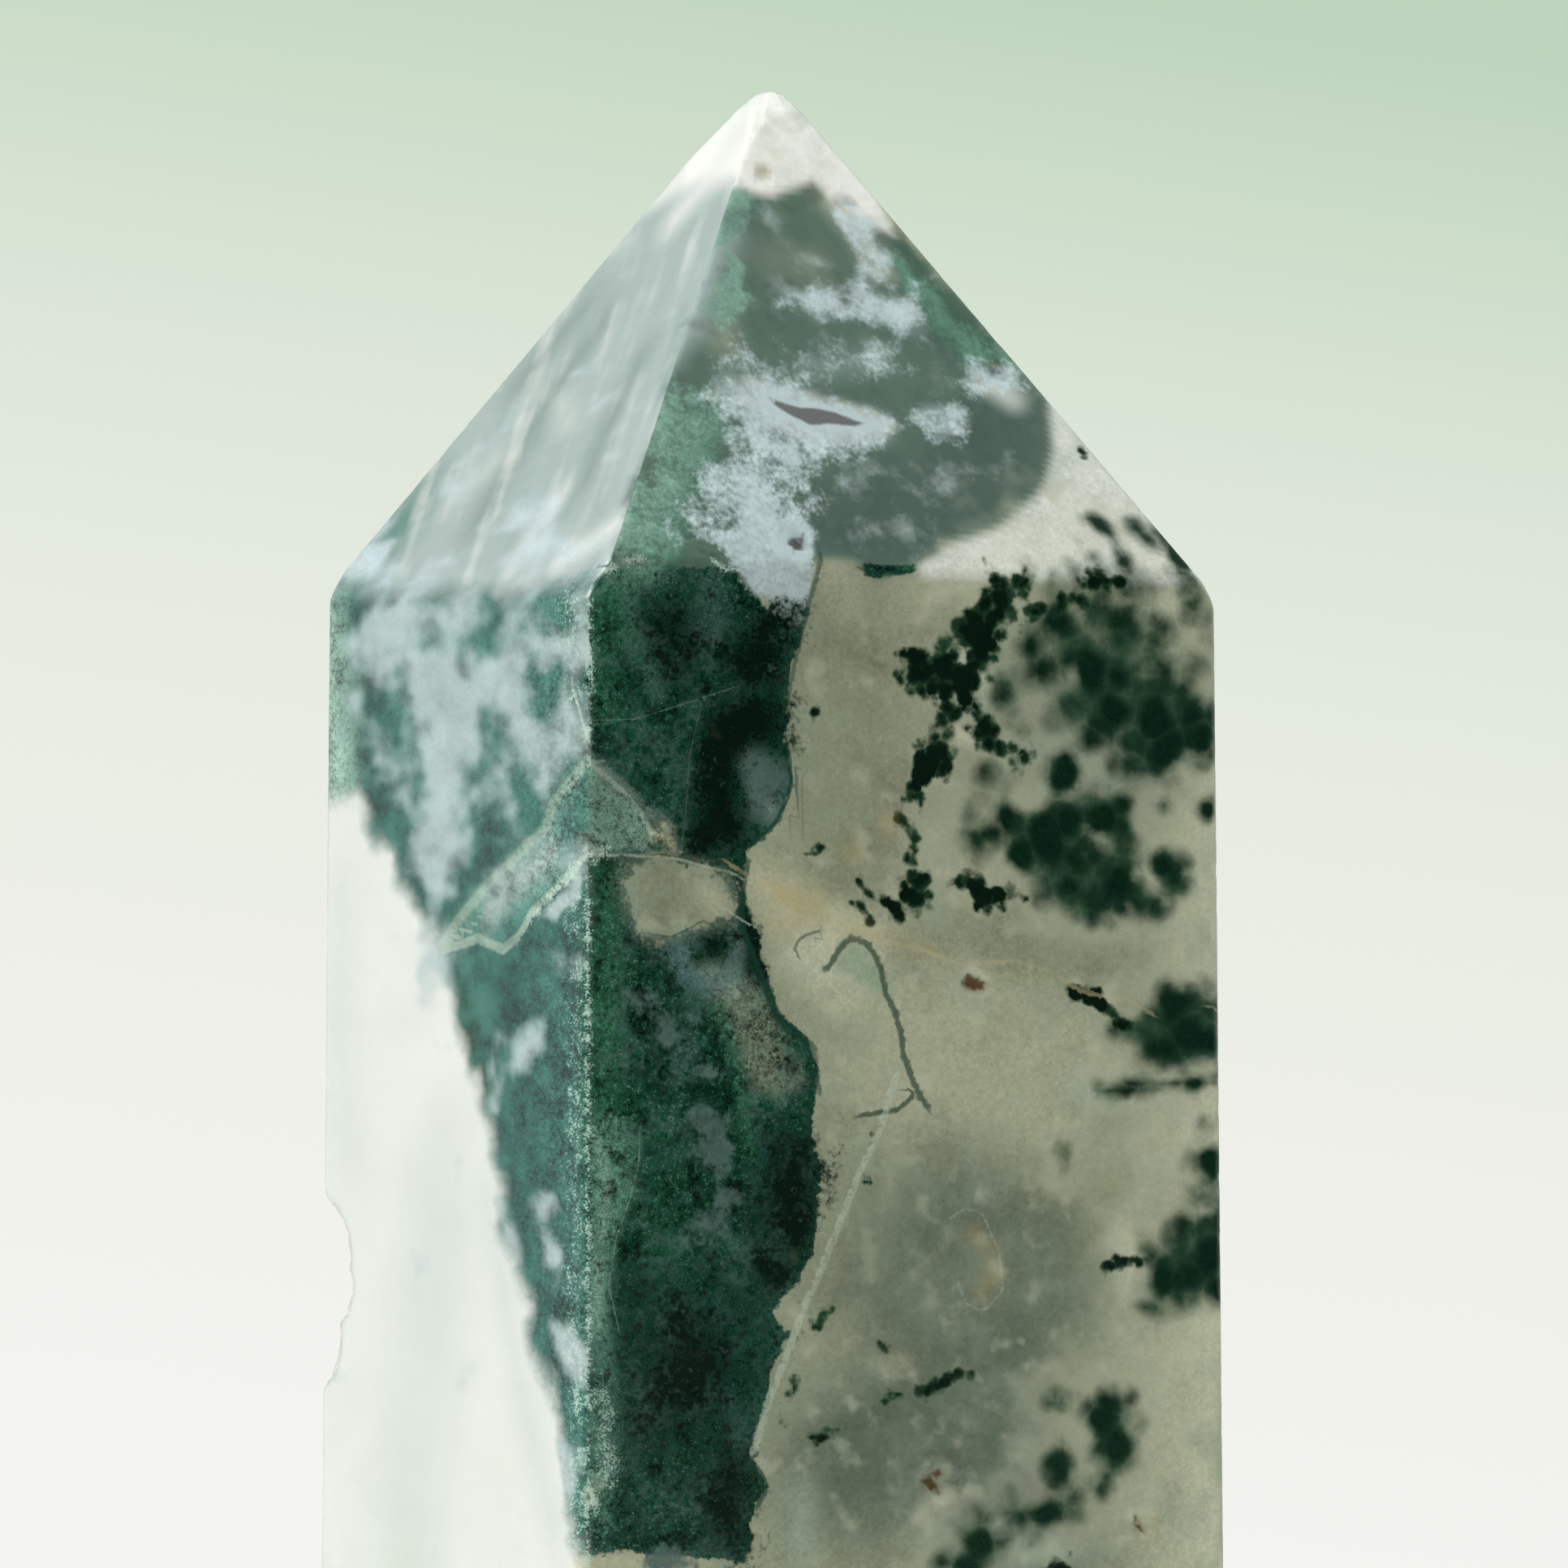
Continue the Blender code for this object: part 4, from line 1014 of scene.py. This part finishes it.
def paintStone(mesh, notes, broken):
    # all the marks, as attributes of the mesh's vertices
    places = notes[:, :2]
    across = places[:, 0]
    # The front wall's ground is painted darker and greyer than the left wall's: partly painted shade, partly
    # its own tone. The right and back sides get part of it.
    frontShadeAndTone = ease(*turns["front"], across) * (1 - ease(*turns["right"], across) * turns["rightLoss"])
    frontShadeAndTone = (frontShadeAndTone + ease(*turns["back"], across) * turns["backShade"])[:, None]
    matrix = np.array(palette["milk"]) * (1 - frontShadeAndTone) + np.array(palette["ash"]) * frontShadeAndTone
    matrix = matrix + (np.array(palette["pale"]) - matrix) * turns["paleShare"] * frontShadeAndTone
    # The green is painted a lighter teal on the left wall and a darker green on the front: partly painted
    # light and shade, partly its own hue.
    green = np.tile(np.array(palette["deep"]), (len(places), 1))
    green += (np.array(palette["teal"]) - green) * ease(*turns["teal"], across)[:, None]
    for washes in (matrixWashes, slopeWashes, leftWashes):
        washOver(matrix, places, washes)
    washOver(green, places, greenWashes)
    # The veil is painted pale blue white on the left wall and a dark grey green on the front: partly painted
    # shade, partly its own tone.
    veilTone = np.where(across[:, None] < 0, np.array(palette["frost"]), np.array(palette["haze"]))
    onSlope = ease(*turns["slope"], places[:, 1] - grid["shoulderMiddle"])[:, None]
    veilTone = veilTone * (1 - onSlope) + np.array(palette["ice"]) * onSlope
    washOver(veilTone, places, veilWashes)

    band = growField(places, bandOutlines)
    band = growField(places, hidden["bands"], asPhoto=False, field=band)
    gaps = growField(places, bandGaps)
    pitBeads = {name: (half, turns["pitSoftness"], points) for name, (half, points) in pitSpots.items()}
    fields = {
        "band": np.minimum(band, -gaps),
        "moss": growField(places, mossOutlines, mossBeads),
        "sunk": growField(places, sunkOutlines, sunkBeads),
        "veil": growField(places, veilOutlines),
        "night": growField(places, nightOutlines),
        "eye": growField(places, eyes),
        "pit": growField(places, None, pitBeads),
        "broken": broken,
        # shade: 1 on the front wall, 0 on the left, the share of the front's painted shade and greyer tone
        "shade": frontShadeAndTone[:, 0],
        "edging": growField(places, edgingOutlines),
    }
    for name, outline in (("mist", slopeWashes["slopeGround"][-1]), ("streaks", leftWashes["leftSlope"][-1])):
        fields[name] = ease(*turns["maskEdge"], growField(places, {name: (1.0, outline)}))
    nearClumps, deepClumps = clumpBeads()
    fields["moss"] = growField(places, None, nearClumps, False, fields["moss"])
    fields["sunk"] = growField(places, None, deepClumps, False, fields["sunk"])
    sheet = np.where(across < 0, growField(places, sheetOutlines), limits["floor"])
    fields["veil"] = np.maximum(fields["veil"], sheet)
    for name, gapsInside in (("moss", mossGaps), ("sunk", sunkGaps), ("veil", veilGaps)):
        fields[name] = np.minimum(fields[name], -growField(places, gapsInside))
    for name in ("moss", "sunk"):
        fields[name] = np.minimum(fields[name], limits["clusterTop"])
    depth = ease(*turns["mist"], across) * (1 - ease(*turns["mistEnd"], across))
    tip = ease(*turns["tip"], places[:, 1])
    fields["focus"] = (1 - depth * turns["mistLoss"]) * (1 - tip * turns["tipLoss"])
    fields["veil"] = growField(places, hidden["veils"], None, False, fields["veil"])
    fields["night"] = growField(places, hidden["nights"], None, False, fields["night"])
    for name, lines in (("darkLine", darkLines), ("paleLine", paleLines), ("goldLine", goldLines)):
        fields[name], fields[name + "Shown"] = lineFields(places, lines, hidden[name + "s"])
    for name, marks in (("stain", stains), ("scuff", scuffs)):
        fields[name] = np.zeros(len(places))
        for strength, half, soft, points in marks.values():
            reach = beadReach(places, photoPlaces(points), half)
            fields[name] = np.maximum(fields[name], ease(-soft, soft, reach) * strength)

    for name, values in fields.items():
        mesh.attributes.new(name, "FLOAT", "POINT").data.foreach_set("value", values.astype(np.float32))
    for name, colours in (("matrixColour", matrix), ("greenColour", green), ("veilColour", veilTone)):
        full = np.hstack((colours, np.ones((len(colours), 1)))).astype(np.float32)
        mesh.attributes.new(name, "FLOAT_COLOR", "POINT").data.foreach_set("color", full.ravel())


class Wire:
    # one output in a material's node tree, so that masks can be written as sums
    def __init__(self, tree, socket=None):
        self.tree = tree
        self.socket = socket

    def node(self, kind, settings=None, links=None, out=0):
        made = self.tree.nodes.new(kind)
        for name, value in (settings or {}).items():
            if name == "stops":
                self.setStops(made.color_ramp, value)
            else:
                setattr(made, name, value)
        for name, value in (links or {}).items():
            if isinstance(value, Wire):
                self.tree.links.new(value.socket, made.inputs[name])
            else:
                made.inputs[name].default_value = value
        return Wire(self.tree, made.outputs[out])

    def setStops(self, ramp, stops):
        while len(ramp.elements) < len(stops):
            ramp.elements.new(1.0)
        for element, (position, colour) in zip(ramp.elements, stops):
            element.position = position
            element.color = (*colour, 1.0)

    def maths(self, operation, first, second=0.0, clamp=False):
        settings = {"operation": operation, "use_clamp": clamp}
        return self.node("ShaderNodeMath", settings, {0: first, 1: second})

    def __add__(self, other):
        return self.maths("ADD", self, other)

    def __sub__(self, other):
        return self.maths("SUBTRACT", self, other)

    def __rsub__(self, other):
        return self.maths("SUBTRACT", other, self)

    def __mul__(self, other):
        return self.maths("MULTIPLY", self, other)

    __radd__ = __add__
    __rmul__ = __mul__

    def size(self):
        return self.maths("ABSOLUTE", self)

    def atLeast(self, least):
        return self.maths("MAXIMUM", self, least)

    def clamped(self):
        return self.maths("ADD", self, 0.0, True)

    def between(self, low, high):
        # 0 below low and 1 above high, with a soft step between them
        links = {"Value": self, "From Min": low, "From Max": high, "To Min": 0.0, "To Max": 1.0}
        if low > high:
            links.update({"From Min": high, "From Max": low, "To Min": 1.0, "To Max": 0.0})
        return self.node("ShaderNodeMapRange", {"interpolation_type": "SMOOTHSTEP"}, links)

    def blend(self, low, high):
        # one colour where this mask is 0 and another where it is 1
        links = {0: self, 6: (*low, 1.0), 7: (*high, 1.0)}
        return self.node("ShaderNodeMix", {"data_type": "RGBA"}, links, out=2)

    def over(self, colour, mask):
        # another colour laid over this one by a mask
        colour = colour if isinstance(colour, Wire) else (*colour, 1.0)
        return self.node("ShaderNodeMix", {"data_type": "RGBA"}, {0: mask, 6: self, 7: colour}, out=2)

    def lit(self, factor):
        # this colour made lighter or darker
        return self.node("ShaderNodeVectorMath", {"operation": "SCALE"}, {0: self, "Scale": factor})


# The finish. A grain is (size in mm, detail, roughness).
finish = {
    "cloud": (3.0, 4.0, 0.55), "billow": (2.7, 2.0, 0.5), "patch": (2.0, 3.0, 0.55), "soft": (1.1, 1.5, 0.5),
    "wobble": (0.85, 5.0, 0.62), "fine": (0.20, 3.0, 0.6), "dust": (0.07, 1.0, 0.5), "wisp": (0.6, 3.0, 0.65),
    "grainSpread": 3.0,
    "drawOut": (1.0, 0.5, 1.0),  # the pattern is twice as long from front to back
    "streakRise": (0.049, 0.049, 0.073), "streakAside": (0.24, -0.43, 0.13), "streak": (0.9, 2.5, 0.55),
    "largeLump": 1.25, "smallLump": 0.5, "lumpMiddle": 0.62,
    "roughness": 0.20, "ior": 1.54,
    "subsurface": 0.12, "subsurfaceRadius": (1.0, 1.1, 1.0), "subsurfaceScale": 0.0005,
    "bumpStrength": 0.6, "bumpDepth": 0.00002,
}


def stoneMaterial():
    material = bpy.data.materials.new("polishedTreeAgate")
    material.use_nodes = True
    tree = material.node_tree
    shader = tree.nodes["Principled BSDF"]
    start = Wire(tree)
    place = start.node("ShaderNodeTexCoord", out="Object").lit(1 / mm)
    drawn = place.node("ShaderNodeVectorMath", {"operation": "MULTIPLY"}, {0: place, 1: finish["drawOut"]})

    def grain(name):
        size, detail, rough = finish[name]
        links = {"Vector": drawn, "Scale": 1 / size, "Detail": detail, "Roughness": rough}
        return (drawn.node("ShaderNodeTexNoise", links=links) - 0.5) * finish["grainSpread"]

    def field(name):
        return start.node("ShaderNodeAttribute", {"attribute_name": name}, out="Fac")

    def hue(name):
        return start.node("ShaderNodeAttribute", {"attribute_name": name}, out="Color")

    cloud = grain("cloud")
    patch = grain("patch")
    billow = grain("billow")
    soft = grain("soft")
    focus = field("focus")  # 1 where the pattern is crisp, less where it lies in mist
    wobble = grain("wobble") * focus + soft * (1.0 - focus)
    fine = grain("fine") * focus
    dust = grain("dust") * focus
    wisp = grain("wisp")
    # shade: 1 on the front wall, 0 on the left wall, about half on the right and back. It weights the front's
    # painted shade and greyer tone, and how crisp the pattern is.
    shade = field("shade")

    # the light chalcedony, with drifting tints and a sugary grain
    mist = field("mist")
    grit = shade * (1.0 - mist * 0.85)
    ground = hue("matrixColour").lit(1.0 + (cloud * 0.22 + wobble * 0.14 + fine * 0.16 + dust * 0.10) * grit
                                     + cloud * 0.05 + fine * 0.03)
    ground = ground.over(palette["sage"], patch.between(0.0, 0.8) * grit * 0.40)
    ground = ground.over(palette["bright"], (soft + wobble * 0.5).between(0.1, 0.9) * grit * 0.35)
    ground = ground.over(palette["smoke"], (cloud + wobble * 0.5).between(0.0, 0.7) * grit * 0.45)

    # mist in the front slope and slanting streaks in the left one
    ground = ground.over(palette["ice"], (patch + wobble * 0.5 + fine * 0.15).between(0.1, 1.0) * mist * 0.45)
    ground = ground.over(palette["deepSlate"], (cloud + soft * 0.6).between(-0.1, -0.8) * mist * 0.5)
    streaks = field("streaks")
    dot = {"operation": "DOT_PRODUCT"}
    rise = place.node("ShaderNodeVectorMath", dot, {0: place, 1: finish["streakRise"]}, out="Value")
    aside = place.node("ShaderNodeVectorMath", dot, {0: place, 1: finish["streakAside"]}, out="Value")
    combed = place.node("ShaderNodeCombineXYZ", links={0: rise, 1: aside})
    scale, detail, rough = finish["streak"]
    links = {"Vector": combed, "Scale": scale, "Detail": detail, "Roughness": rough}
    streak = (combed.node("ShaderNodeTexNoise", links=links) - 0.5) * finish["grainSpread"] + soft * 0.3
    ground = ground.over(palette["milk"], streak.between(-0.1, 1.0) * streaks * 0.7)
    ground = ground.over(palette["lagoon"], streak.between(-0.2, -1.2) * streaks * 0.4)

    # the green band, mottled and speckled
    tone = (1.0 + patch * 0.5 + wobble * 0.95 + fine * 1.0 + dust * 0.7).atLeast(0.15)
    green = hue("greenColour").lit(tone)
    gloom = (wobble + cloud * 0.5 + fine * 0.5).between(0.15, 0.9)
    # dark blotches in the green, heavier on the front wall, partly as painted shade
    green = green.over(palette["night"], gloom * (0.25 + shade * 0.5))
    green = green.over(palette["haze"], (patch + soft * 0.5 + fine * 0.4).between(0.35, 1.1) * 0.2)
    specks = (dust + fine * 0.9 + wobble * 0.3).between(0.4, 1.0)
    green = green.over(palette["mint"], specks * 0.35)
    # lighter teal, heavier on the left wall, partly as painted light
    green = green.over(palette["lagoon"], (soft + wobble * 0.7).between(0.1, 1.0) * (0.45 - shade * 0.2))
    thread = (1.0 - wisp.size() * 3.0).clamped() * (patch + wobble * 0.4).between(-0.4, 0.5)
    green = green.over(palette["wisp"], thread * (0.15 + shade * 0.2))
    bandEdge = (field("band") + wobble * 0.28 + fine * 0.12).between(-0.06, 0.06) * shade
    bandEdge = bandEdge + (field("band") + patch * 0.5 + wobble * 0.6).between(-0.8, 0.8) * (1.0 - shade)
    colour = ground.over(green, bandEdge)
    slopeGreen = (field("edging") + patch * 0.6 + wobble * 0.9 + fine * 0.3).between(-0.3, 0.5)
    speckled = hue("greenColour").lit((1.0 + wobble * 0.5 + fine * 0.5 + dust * 0.3).atLeast(0.2))
    colour = colour.over(speckled, slopeGreen * 0.85)

    veil = field("veil") * 0.7 + billow * 1.5 + soft * 0.3
    veil = veil + wobble * (0.15 + shade * 0.85) + fine * shade * 0.6
    veil = veil.between(-0.5, 0.8) * field("veil").between(-3.2, -1.6)
    milky = hue("veilColour").lit(1.0 + wobble * 0.25 + fine * 0.25 + wisp * shade * 0.2)
    colour = colour.over(milky, veil * 0.92)
    night = (field("night") * 0.7 + wobble * 1.3 + fine * 1.0 + patch * 0.4).between(-0.5, 0.9)
    colour = colour.over(palette["night"], night)
    colour = colour.over(palette["haze"], night * (wobble + fine * 0.8).between(0.5, 1.0) * 0.4)

    # moss: lacy where it is near the surface, blurred where it lies deeper
    def lumps(size):
        # round lumps: above 0 in their middles
        links = {"Vector": drawn, "Scale": 1 / size}
        gap = drawn.node("ShaderNodeTexVoronoi", {"feature": "F1"}, links, out="Distance")
        return finish["lumpMiddle"] - gap

    large, small = lumps(finish["largeLump"]), lumps(finish["smallLump"])
    sunkEdge = field("sunk") + soft * 0.5 + wobble * 0.35 + large * 1.5
    sunk = sunkEdge.between(-0.9, 0.8)
    sunkCore = (sunkEdge + soft * 0.5 + large * 2.0).between(0.0, 1.8)
    sunkTone = sunkCore.blend(palette["sunkEdge"], palette["sunkCore"]).lit(1.0 + fine * 0.35)
    colour = colour.over(palette["bright"], sunkEdge.between(-3.0, -1.2) * 0.25)
    colour = colour.over(sunkTone, sunk)
    mossEdge = field("moss") + wobble * 0.9 + fine * 0.25 + small * 1.6 + large * 0.8 + 0.15
    moss = mossEdge.between(-0.35, 0.55)
    core = (mossEdge + wobble * 0.4 + large * 1.2).between(0.0, 1.3)
    mossTone = core.blend(palette["olive"], palette["core"]).lit(1.0 + fine * 0.5)
    colour = colour.over(mossTone, moss)

    eye = field("eye") + fine * 0.04 + wobble * 0.04
    colour = colour.over(palette["ice"], eye.between(-0.5, -0.12) * 0.8)
    colour = colour.over(palette["slit"], eye.between(-0.07, 0.09) * 0.9)

    def line(name, wander):
        off = (field(name) + fine * wander + wobble * wander * 0.6).size()
        return off.between(1.35, 0.5) * field(name + "Shown")

    colour = colour.over(palette["rim"], line("darkLine", 0.7) * 0.85)
    colour = colour.over(palette["honey"], (field("stain") * (0.75 + wobble * 0.6)).clamped())
    gold = line("goldLine", 1.0)
    colour = colour.over(palette["gold"], gold * (0.6 + wobble * 0.5).clamped())
    pale = line("paleLine", 0.8)
    colour = colour.over(palette["chalk"], pale * (0.7 + wobble * 0.5 + fine * 0.8 + dust * 0.4).clamped())

    scuffEdge = field("scuff") + fine * 0.5 + dust * 0.6 + wobble * 0.75
    scuff = scuffEdge.between(0.35, 1.2) * field("scuff").between(0.0, 0.3)
    colour = colour.over(palette["scuffed"], scuff * 0.85)
    broken = field("broken")
    colour = colour.over(palette["pearl"], (broken * (0.35 + fine * 0.25)).clamped())
    pit = (field("pit") + fine * 0.8 + wobble * 0.6).between(-0.6, 0.9)
    colour = colour.over(palette["bright"], (field("pit") + wobble).between(-3.0, -1.0) * 0.2)
    colour = colour.over(palette["umber"], pit * 0.95)
    tree.links.new(colour.socket, shader.inputs["Base Color"])

    dull = scuff * 0.3 + broken * 0.35 + pit * 0.4 + pale * 0.2
    roughness = (finish["roughness"] + cloud * 0.03 + dull).clamped()
    tree.links.new(roughness.socket, shader.inputs["Roughness"])

    rubbed = field("scuff").clamped() * 1.5 + 0.12
    height = fine * rubbed + dust * 0.10 - field("pit").between(-0.4, 0.7) * 3.0
    bump = start.node("ShaderNodeBump", links={
        "Strength": finish["bumpStrength"], "Distance": finish["bumpDepth"], "Height": height})
    tree.links.new(bump.socket, shader.inputs["Normal"])

    shader.inputs["IOR"].default_value = finish["ior"]
    shader.inputs["Subsurface Weight"].default_value = finish["subsurface"]
    shader.inputs["Subsurface Radius"].default_value = finish["subsurfaceRadius"]
    shader.inputs["Subsurface Scale"].default_value = finish["subsurfaceScale"]
    return material


def buildStone():
    bm, notes, bottom, top = shapeStone()
    broken = wearStone(bm, notes)
    foot = set(bottom)
    rim = [edge for edge in bm.edges if edge.is_boundary and edge.verts[0] in foot]
    bmesh.ops.contextual_create(bm, geom=rim)
    peak = sum((vert.co for vert in top), Vector()) / len(top)
    bmesh.ops.pointmerge(bm, verts=top, merge_co=peak)
    bmesh.ops.scale(bm, vec=(mm, mm, mm), verts=bm.verts[:])
    bmesh.ops.recalc_face_normals(bm, faces=bm.faces[:])
    number = bm.verts.layers.int["number"]
    order = np.array([vert[number] for vert in bm.verts])
    bm.verts.layers.int.remove(number)
    mesh = bpy.data.meshes.new("polishedStone")
    bm.to_mesh(mesh)
    bm.free()
    paintStone(mesh, notes[order], broken[order])
    mesh.shade_smooth()
    piece = bpy.data.objects.new("polishedStone", mesh)
    bpy.context.scene.collection.objects.link(piece)
    mesh.materials.append(stoneMaterial())
    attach(piece, "root")
    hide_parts("agate_tower")
    print("stone:", len(mesh.vertices), "vertices,", len(mesh.polygons), "faces")


# The studio: a pale floor that fades into the backdrop, and soft light. The distances
# are in metres, and the fades are where each change begins and ends.
studio = {
    "floorRadius": 0.32, "floorSegments": 96, "floorFade": (0.16, 0.31),
    "floorColour": (0.86, 0.87, 0.84), "floorRoughness": 0.7,
    "backdropUp": 0.07, "backdropTilt": 0.15,
    "dark": (0.012, 0.014, 0.012), "side": (0.24, 0.25, 0.22), "glow": (0.34, 0.38, 0.36),
    "darkSide": (0.30, -0.95, 0.0), "awayFade": (0.85, 0.35), "behindFade": (-0.1, 0.8),
    "aim": (0.0, 0.0, 0.055),
}
lights = {
    "keyLight": {"place": (-0.62, 0.26, 0.50), "size": 0.5, "power": 4.6, "colour": (1.0, 1.0, 0.99),
                 "mirrored": True},
    "topLight": {"place": (0.20, -0.16, 0.62), "size": 0.5, "power": 2.4, "colour": (0.96, 1.0, 0.98),
                 "mirrored": False},
    "fillLight": {"place": (-0.45, -0.50, 0.42), "size": 0.35, "power": 1.3, "colour": (1.0, 0.99, 0.86),
                  "mirrored": False},
}


def fromScreen(*channels):
    # a colour from 0 to 255, as a screen shows it, in linear light
    return tuple((c / 255 / 12.92) if c < 10.3 else ((c / 255 + 0.055) / 1.055) ** 2.4 for c in channels)


# The backdrop's colours from low to high, as they look on a screen.
backdrop = (
    (0.054, fromScreen(244, 244, 240)),
    (0.288, fromScreen(239, 240, 234)),
    (0.532, fromScreen(231, 236, 225)),
    (0.752, fromScreen(218, 228, 214)),
    (0.942, fromScreen(198, 217, 195)),
    (1.0, fromScreen(190, 212, 188)),
)


def buildWorld():
    world = bpy.data.worlds.new("studio")
    world.use_nodes = True
    bpy.context.scene.world = world
    tree = world.node_tree
    tree.nodes.clear()
    start = Wire(tree)
    ray = start.node("ShaderNodeTexCoord", out="Generated")
    right, ahead = photoFrame()[:2]

    def along(direction):
        links = {0: ray, 1: tuple(direction)}
        return start.node("ShaderNodeVectorMath", {"operation": "DOT_PRODUCT"}, links, out="Value")

    up = along((0, 0, 1))
    height = (up + along(right) * studio["backdropTilt"]) * (0.5 / studio["backdropUp"]) + 0.5
    shown = start.node("ShaderNodeValToRGB", {"stops": backdrop}, {"Fac": height})
    behind = along(ahead).between(*studio["behindFade"])
    away = along(studio["darkSide"]).between(*studio["awayFade"])
    lighting = away.blend(studio["dark"], studio["side"]).over(studio["glow"], behind)
    camera = start.node("ShaderNodeLightPath", out="Is Camera Ray")
    look = lighting.over(shown, camera)
    back = start.node("ShaderNodeBackground", links={"Color": look, "Strength": 1.0})
    output = tree.nodes.new("ShaderNodeOutputWorld")
    tree.links.new(back.socket, output.inputs["Surface"])


def buildFloor():
    bm = bmesh.new()
    bmesh.ops.create_circle(bm, cap_ends=True, segments=studio["floorSegments"], radius=studio["floorRadius"])
    mesh = bpy.data.meshes.new("paleFloor")
    bm.to_mesh(mesh)
    bm.free()
    floor = bpy.data.objects.new("paleFloor", mesh)
    bpy.context.scene.collection.objects.link(floor)
    material = bpy.data.materials.new("palePaper")
    material.use_nodes = True
    tree = material.node_tree
    shader = tree.nodes["Principled BSDF"]
    shader.inputs["Base Color"].default_value = (*studio["floorColour"], 1.0)
    shader.inputs["Roughness"].default_value = studio["floorRoughness"]
    start = Wire(tree)
    place = start.node("ShaderNodeTexCoord", out="Object")
    spread = start.node("ShaderNodeVectorMath", {"operation": "LENGTH"}, {0: place}, out="Value")
    clear = start.node("ShaderNodeBsdfTransparent")
    fade = spread.between(*studio["floorFade"])
    mixed = tree.nodes.new("ShaderNodeMixShader")
    tree.links.new(fade.socket, mixed.inputs[0])
    tree.links.new(shader.outputs[0], mixed.inputs[1])
    tree.links.new(clear.socket, mixed.inputs[2])
    tree.links.new(mixed.outputs[0], tree.nodes["Material Output"].inputs["Surface"])
    mesh.materials.append(material)


def addSoftLight(name):
    facts = lights[name]
    data = bpy.data.lights.new(name, "AREA")
    data.shape = "DISK"
    data.size = facts["size"]
    data.energy = facts["power"]
    data.color = facts["colour"]
    light = bpy.data.objects.new(name, data)
    light.location = facts["place"]
    aim = Vector(studio["aim"]) - Vector(facts["place"])
    light.rotation_euler = aim.to_track_quat("-Z", "Y").to_euler()
    light.visible_glossy = facts["mirrored"]
    bpy.context.scene.collection.objects.link(light)


def placeCamera():
    data = bpy.data.cameras.new("photoView")
    data.sensor_width = photo["sensor"]
    data.lens = photo["sensor"] * photo["pixelsPerMm"] * photo["distance"] / photo["side"]
    data.clip_start = photo["nearest"]
    camera = bpy.data.objects.new("photoView", data)
    camera.location = photoFrame()[2] * mm
    camera.rotation_euler = (math.pi / 2, 0, -math.radians(photo["turn"]))
    bpy.context.scene.collection.objects.link(camera)
    bpy.context.scene.camera = camera


placeCamera()
print("camera placed")
buildStone()
buildWorld()
buildFloor()
for lightName in lights:
    addSoftLight(lightName)
bpy.context.scene.view_settings.view_transform = "Standard"
print("studio built")
